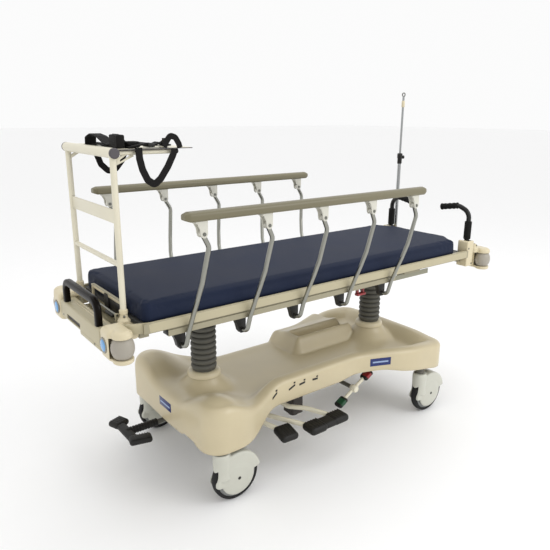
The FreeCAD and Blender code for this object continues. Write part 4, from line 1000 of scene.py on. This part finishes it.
def rails():
    for side, s in SIDES.items():
        for i in range(POSTS):
            tag = "%s_%d" % (side, i + 1)
            post = placed(rail_post(post_x(i)), "rail_post_piece_" + tag, flip_y=s < 0)
            own(post, "rail_post_" + tag)
        own(hand_rail(side, s), "hand_rail_" + side)


def grip_bar(s):
    """Hand rail moulding with bevelled ends."""
    half, low, crown = GRIP_HALF, GRIP_LOW, GRIP_HIGH - GRIP_ROUND
    section = [(-half, low + 0.006), (-half + 0.005, low), (half - 0.005, low), (half, low + 0.006),
               (half, crown)]
    section += [(half * 0.98 * math.cos(rad(a)), crown + GRIP_ROUND * math.sin(rad(a)) ** 0.75)
                for a in range(12, 180, 12)]
    section.append((-half, crown))
    stations = [(-0.818, 0.62), (-0.8172, 0.66), (-0.8025, 0.985), (-0.799, 1.0), (0.333, 1.0),
                (0.3365, 0.985), (0.3512, 0.66), (0.352, 0.62)]
    mid = (low + GRIP_HIGH) / 2
    verts = []
    for x, k in stations:
        verts += [(x, s * (RAIL_Y + y * k), mid + (z - mid) * k) for y, z in section]
    return make("bar", verts, tube_faces(len(stations), len(section)), "taupe", sharp=24)


def clevis(x, s):
    """Fork with its pin that hangs a hand rail on one post."""
    outline = [(-0.03, 1.149), (0.014, 1.149), (0.0135, 1.104), (0.0105, 1.0955), (0.004, 1.091),
               (-0.004, 1.091), (-0.0105, 1.0955), (-0.0135, 1.104), (-0.016, 1.122)]
    cheeks = [slab("e", [(x + a, s * y, z) for a, z in outline], (0, s * 0.0045, 0), "clevis", 0.0013, 2)
              for y in (0.3782, 0.4032)]
    across = sorted((s * 0.379, s * 0.407))
    web = block("w", (x - 0.03, x + 0.014), across, (1.139, 1.1485), "clevis", 0.002, 2)
    pin = lathe("p", mirror([(0.004, 0.014), (0.0062, 0.014), (0.0062, 0.0165), (0.0, 0.0165)]),
                (x, s * RAIL_Y, PIN_Z), "bolt", "y", 24)
    return cheeks + [web, pin]


def hand_rail(side, s):
    pieces = [grip_bar(s)]
    for i in range(POSTS):
        pieces += clevis(post_x(i) + PIN_LEAD, s)
    return join("hand_rail_piece_" + side, pieces)


# ---- head end --------------------------------------------------------------------------------
HANDLE = (0.905, 0.259, 0.795)
POLE = (0.955, 0.268)


def push_handle():
    """Folding handle on the far side: bent tube on its root, with a foam sleeve and a waved grip."""
    x, y, z = HANDLE
    path = fillet([HANDLE, (x, y, 0.995), (x - 0.01, 0.2, 1.024), (x - 0.014, 0.096, 1.006)], 0.055, 10)
    bar = sweep("h", path, ring(0.012, 24), "tube_black")
    root = lathe("r", mirror([(0.0198, 0.014), (0.018, 0.0172), (0.0062, 0.0172)]), HANDLE, "black", "x", 36)
    sleeve = lathe("s", [(0.0, 0.856), (0.0165, 0.856), (0.018, 0.859), (0.018, 0.945), (0.0165, 0.948),
                         (0.0, 0.948)], (x, y, 0), "foam", steps=32)
    a, b = Vector((x - 0.0105, 0.196, 1.0233)), Vector((x - 0.014, 0.096, 1.006))
    line, scale = [], []
    for k in range(33):
        t = k / 32
        line.append(a.lerp(b, t))
        wave = 1 - 0.13 * (0.5 - 0.5 * math.cos(t * math.pi * 8)) if 0.08 < t < 0.9 else 1
        end = 0.72 if k == 0 else 1
        scale.append(end * wave * (1.0 if t < 0.94 else 1.06 if t < 0.99 else 0.8))
    return [bar, root, sleeve, sweep("g", line, ring(0.0165, 28), "foam", scale=scale)]


def handles():
    for side, s in SIDES.items():
        piece = placed(push_handle(), "push_handle_piece_" + side, flip_y=s < 0)
        own(piece, "push_handle_" + side)


def housing():
    """Open-topped housing of the far handle, with its pin and two screws."""
    x, y, z = HANDLE
    body = block("b", (x - 0.033, x + 0.0205), (y - 0.0295, y + 0.0325), (0.7165, 0.8495), "shell", 0.006, 4)
    room = block("c", (x - 0.018, x + 0.018), (y - 0.05, y + 0.0225), (0.742, 0.87), "shell", 0.0)
    body = cut(body, room)
    pin = pipe("p", [(x - 0.026, y, z), (x + 0.0195, y, z)], 0.006, "bolt")
    screw = [(0.0, 0.0), (0.0045, 0.0), (0.0045, 0.0015), (0.003, 0.0022), (0.0, 0.0022)]
    return [body, pin] + [lathe("v", screw, (x + dx, y + 0.0322, zz), "bolt", "y", 20)
                          for dx, zz in ((-0.022, 0.812), (0.01, 0.73))]


def housings():
    for side, s in SIDES.items():
        piece = placed(housing(), "handle_housing_piece_" + side, flip_y=s < 0)
        put(piece, "litter", "handle_housings")


def pole():
    """Lower tube with its clamp, and the sliding rod with its stop and eye."""
    x, y = POLE
    at = (x, y, 0)
    lower = lathe("l", [(0.0062, 0.754), (0.0095, 0.754), (0.0095, 1.252), (0.0062, 1.254), (0.0062, 0.754)],
                  at, "pole", steps=32)
    collar = lathe("c", [(0.0096, 1.204), (0.012, 1.204), (0.0128, 1.208), (0.0128, 1.234), (0.015, 1.238),
                         (0.0152, 1.256), (0.0136, 1.262), (0.0096, 1.263), (0.0096, 1.204)], at, "black",
                   steps=32)
    knob = lathe("k", [(0.0, 0.012), (0.004, 0.012), (0.004, 0.02), (0.009, 0.022), (0.01, 0.03),
                       (0.007, 0.034), (0.0, 0.034)], (x, y, 1.24), "black", "x", 24)
    put(join("pole_lower_piece", [lower, collar, knob]), "litter", "pole_lower")
    rod = pipe("r", [(x, y, 1.06), (x, y, 1.577)], 0.006, "pole", steps=24)
    stop = lathe("s", [(0.0, 1.518), (0.0078, 1.518), (0.009, 1.522), (0.009, 1.548), (0.007, 1.553),
                       (0.0, 1.554)], at, "shell", steps=28)
    loop = [(x, y + 0.0095 * math.sin(rad(a)), 1.5855 - 0.0095 * math.cos(rad(a))) for a in range(0, 361, 15)]
    eye = sweep("e", loop, ring(0.003, 10), "bolt", up=(1, 0, 0))
    put(join("pole_upper_piece", [rod, stop, eye]), "pole", "pole_upper")


# ---- mattress --------------------------------------------------------------------------------
MAT_X, MAT_Y, MAT_Z = (-0.918, 0.845), 0.28, (0.7943, 0.867)
FOOT_CUT, HEAD_CUT = (0.014, 0.024), (0.066, 0.098)
PUFF = 0.005    # how far the cloth pressure may move a point


def mattress_outline(inset):
    """Plan of the mattress, with cut corners, drawn a little inside its size."""
    x0, x1, y = MAT_X[0] + inset, MAT_X[1] - inset, MAT_Y - inset
    k = inset * 0.4
    (fx, fy), (hx, hy) = FOOT_CUT, HEAD_CUT
    return [(x0 + fx - k, -y), (x1 - hx + k, -y), (x1, -y + hy - k), (x1, y - hy + k),
            (x1 - hx + k, y), (x0 + fx - k, y), (x0, y - fy + k), (x0, -y + fy - k)]


def mattress():
    """One soft cover over both halves, rounded out by cloth pressure."""
    start = [(x, y, MAT_Z[0]) for x, y in mattress_outline(0.003)]
    core = slab("mattress_cover", start, (0, 0, MAT_Z[1] - MAT_Z[0] - 0.004), "mattress", 0.008, 3)
    mod = core.modifiers.new("melt", "REMESH")
    mod.mode = "VOXEL"
    mod.voxel_size = 0.006
    settle(core, 60)
    inflate(core)
    sub = core.modifiers.new("sub", "SUBSURF")
    sub.levels = 1
    settle(core, 70)
    core.data.materials.clear()
    core.data.materials.append(M["mattress"])
    return core


def inflate(obj):
    """Cloth pressure rounds the cover out between its seams; how far a point moves is capped."""
    rest = np.array([v.co for v in obj.data.vertices])
    pin = obj.vertex_groups.new(name="pin")
    low = [v.index for v in obj.data.vertices if v.co.z < MAT_Z[0] + 0.004]
    pin.add(low, 1.0, "REPLACE")
    cloth = obj.modifiers.new("cloth", "CLOTH")
    st = cloth.settings
    st.quality = 4
    st.mass = 0.3
    st.tension_stiffness = 40
    st.compression_stiffness = 40
    st.bending_stiffness = 4
    st.use_pressure = True
    st.uniform_pressure_force = 4
    st.vertex_group_mass = "pin"
    st.effector_weights.gravity = 0
    scene = bpy.context.scene
    for f in range(1, 16):
        scene.frame_set(f)
    graph = bpy.context.evaluated_depsgraph_get()
    ev = obj.evaluated_get(graph)
    moved_to = np.array([v.co for v in ev.data.vertices])
    obj.modifiers.clear()
    obj.vertex_groups.clear()
    scene.frame_set(1)
    step = moved_to - rest
    size = np.linalg.norm(step, axis=1)
    step *= (np.minimum(size, PUFF) / np.maximum(size, 1e-9))[:, None]
    for v, co in zip(obj.data.vertices, rest + step):
        v.co = co
    obj.data.update()


# ---- badges, screws and plain CAD nodes ------------------------------------------------------
KEPT = {"base_frame": "steel", "lift_cylinders": "steel", "pump_unit": "pump", "litter_frame": "side",
        "deck_panel": "deck", "backrest_panel": "deck", "lift_rod_foot": "chrome", "lift_rod_head": "chrome",
        "tilt_pin": "chrome", "rail_brackets": "black", "accessory_rail": "alloy", "release_lever": "red"}
PLATE_STATIONS = 7


def on_wall(x, out):
    """Point on the near wall of the cover, moved out along the wall's normal."""
    step = 0.002
    slope = (half_width(x + step) - half_width(x - step)) / (2 * step)
    normal = Vector((-slope, -1, 0)).normalized()
    return Vector((x, -half_width(x), 0)) + normal * out


def wall_plate(x0, x1, low, high, mat, out, slant=0.0):
    """Thin plate that follows the near wall, and may climb along its length."""
    outer, inner = [], []
    for k in range(PLATE_STATIONS):
        t = k / (PLATE_STATIONS - 1)
        for z in (low, high):
            outer.append(on_wall(x0 + (x1 - x0) * t, out) + Vector((0, 0, z + slant * t)))
            inner.append(on_wall(x0 + (x1 - x0) * t, -0.001) + Vector((0, 0, z + slant * t)))
    n = len(outer)
    faces = [(k, k + 2, k + 3, k + 1) for k in range(0, n - 2, 2)]
    back = [tuple(n + i for i in f)[::-1] for f in faces]
    edge = list(range(0, n, 2)) + list(range(n - 1, 0, -2))
    sides = [(a, b, n + b, n + a) for a, b in zip(edge, edge[1:] + edge[:1])]
    return make("plate", outer + inner, faces + back + sides, mat)


def badges():
    """Plain blue plates with no lettering, and plain dark pedal marks along the near wall."""
    x = COVER_X[0]
    pieces = [wall_plate(0.204, 0.302, 0.33, 0.368, "badge", 0.001),
              wall_plate(0.216, 0.29, 0.3455, 0.353, "badge_line", 0.0014),
              block("b", (x - 0.001, x + 0.001), (-0.046, 0.056), (0.2945, 0.3335), "badge", 0.0008, 2),
              block("b", (x - 0.0014, x + 0.001), (-0.036, 0.046), (0.31, 0.317), "badge_line", 0.0)]
    for mx, z, long, slant in ((-0.352, 0.336, 0.03, 0.014), (-0.253, 0.341, 0.034, 0.014),
                               (-0.196, 0.348, 0.032, 0.004), (-0.122, 0.35, 0.03, -0.002)):
        end = mx + long / 2
        pieces.append(wall_plate(end - long, end, z, z + 0.0085, "mark", 0.0012, slant))
        z += slant
        pieces.append(wall_plate(end - 0.008, end + 0.001, z + 0.012, z + 0.019, "mark", 0.0012))
    put(join("cover_plates", pieces), "base")
    screw = [(0.0, 0.32), (0.0042, 0.32), (0.0042, 0.3246), (0.003, 0.3256), (0.0, 0.3256)]
    screws = [lathe("d", screw, (sx, sy, 0), "mark", steps=20)
              for sx, sy in ((-0.356, 0.064), (-0.362, -0.059), (0.265, -0.075), (-0.02, -0.11))]
    put(join("cover_screws", screws), "base")


def plain_nodes():
    """Finishes for the CAD nodes that stay as they are."""
    for node, finish in KEPT.items():
        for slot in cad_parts[node].material_slots:
            slot.material = M[finish]


# ---- stage -----------------------------------------------------------------------------------
FLOOR_HALF = 60
EYE = (-1.6526, -1.9572, 1.4738)
YAW, PITCH, ROLL = rad(37.42), rad(-15.78), rad(0.344)
AIM = (0, 0, 0.6)


def stage():
    h = FLOOR_HALF
    make("floor", [(-h, -h, 0), (h, -h, 0), (h, h, 0), (-h, h, 0)], [(0, 1, 2, 3)], "floor")


def sky():
    world = bpy.data.worlds.new("room")
    world.use_nodes = True
    back = world.node_tree.nodes["Background"]
    back.inputs["Color"].default_value = (1, 1, 1, 1)
    back.inputs["Strength"].default_value = 0.97
    bpy.context.scene.world = world


def light(name, at, size, power):
    """Square soft light that faces the trolley."""
    data = bpy.data.lights.new(name, "AREA")
    data.shape = "SQUARE"
    data.size = size
    data.energy = power
    obj = bpy.data.objects.new(name, data)
    bpy.context.collection.objects.link(obj)
    obj.location = at
    obj.rotation_euler = (Vector(AIM) - Vector(at)).to_track_quat("-Z", "Y").to_euler()


def camera():
    ahead = Vector((math.sin(YAW) * math.cos(PITCH), math.cos(YAW) * math.cos(PITCH), math.sin(PITCH)))
    level = Vector((math.cos(YAW), -math.sin(YAW), 0))
    over = level.cross(ahead)
    right = level * math.cos(ROLL) + over * math.sin(ROLL)
    up = -level * math.sin(ROLL) + over * math.cos(ROLL)
    data = bpy.data.cameras.new("camera")
    data.lens = 37.15
    data.sensor_width = 36
    obj = bpy.data.objects.new("camera", data)
    bpy.context.collection.objects.link(obj)
    turn = Matrix((right, up, -ahead)).transposed()
    obj.matrix_world = Matrix.Translation(Vector(EYE) - Vector((0, 0, FLOOR_Z))) @ turn.to_4x4()
    bpy.context.scene.camera = obj


plain_nodes()
base_cover()
collars()
bellows()
casters()
pedals()
brake()
end_pedal()
corners()
foot_beam()
push_bar()
foot_latch()
mattress_stop()
side_mouldings()
monitor()
badges()
straps()
rails()
handles()
housings()
pole()
cover = mattress()
cover.data.transform(Matrix.Translation((0, 0, -FLOOR_Z)))
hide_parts("mattress_seat", "mattress_back")
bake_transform(cover)
stage()
sky()
light("key", (1.8, -3.2, 3.0), 2.2, 45)
light("top", (0.0, 0.6, 3.8), 3.0, 20)
camera()
bpy.context.scene.view_settings.view_transform = "Standard"
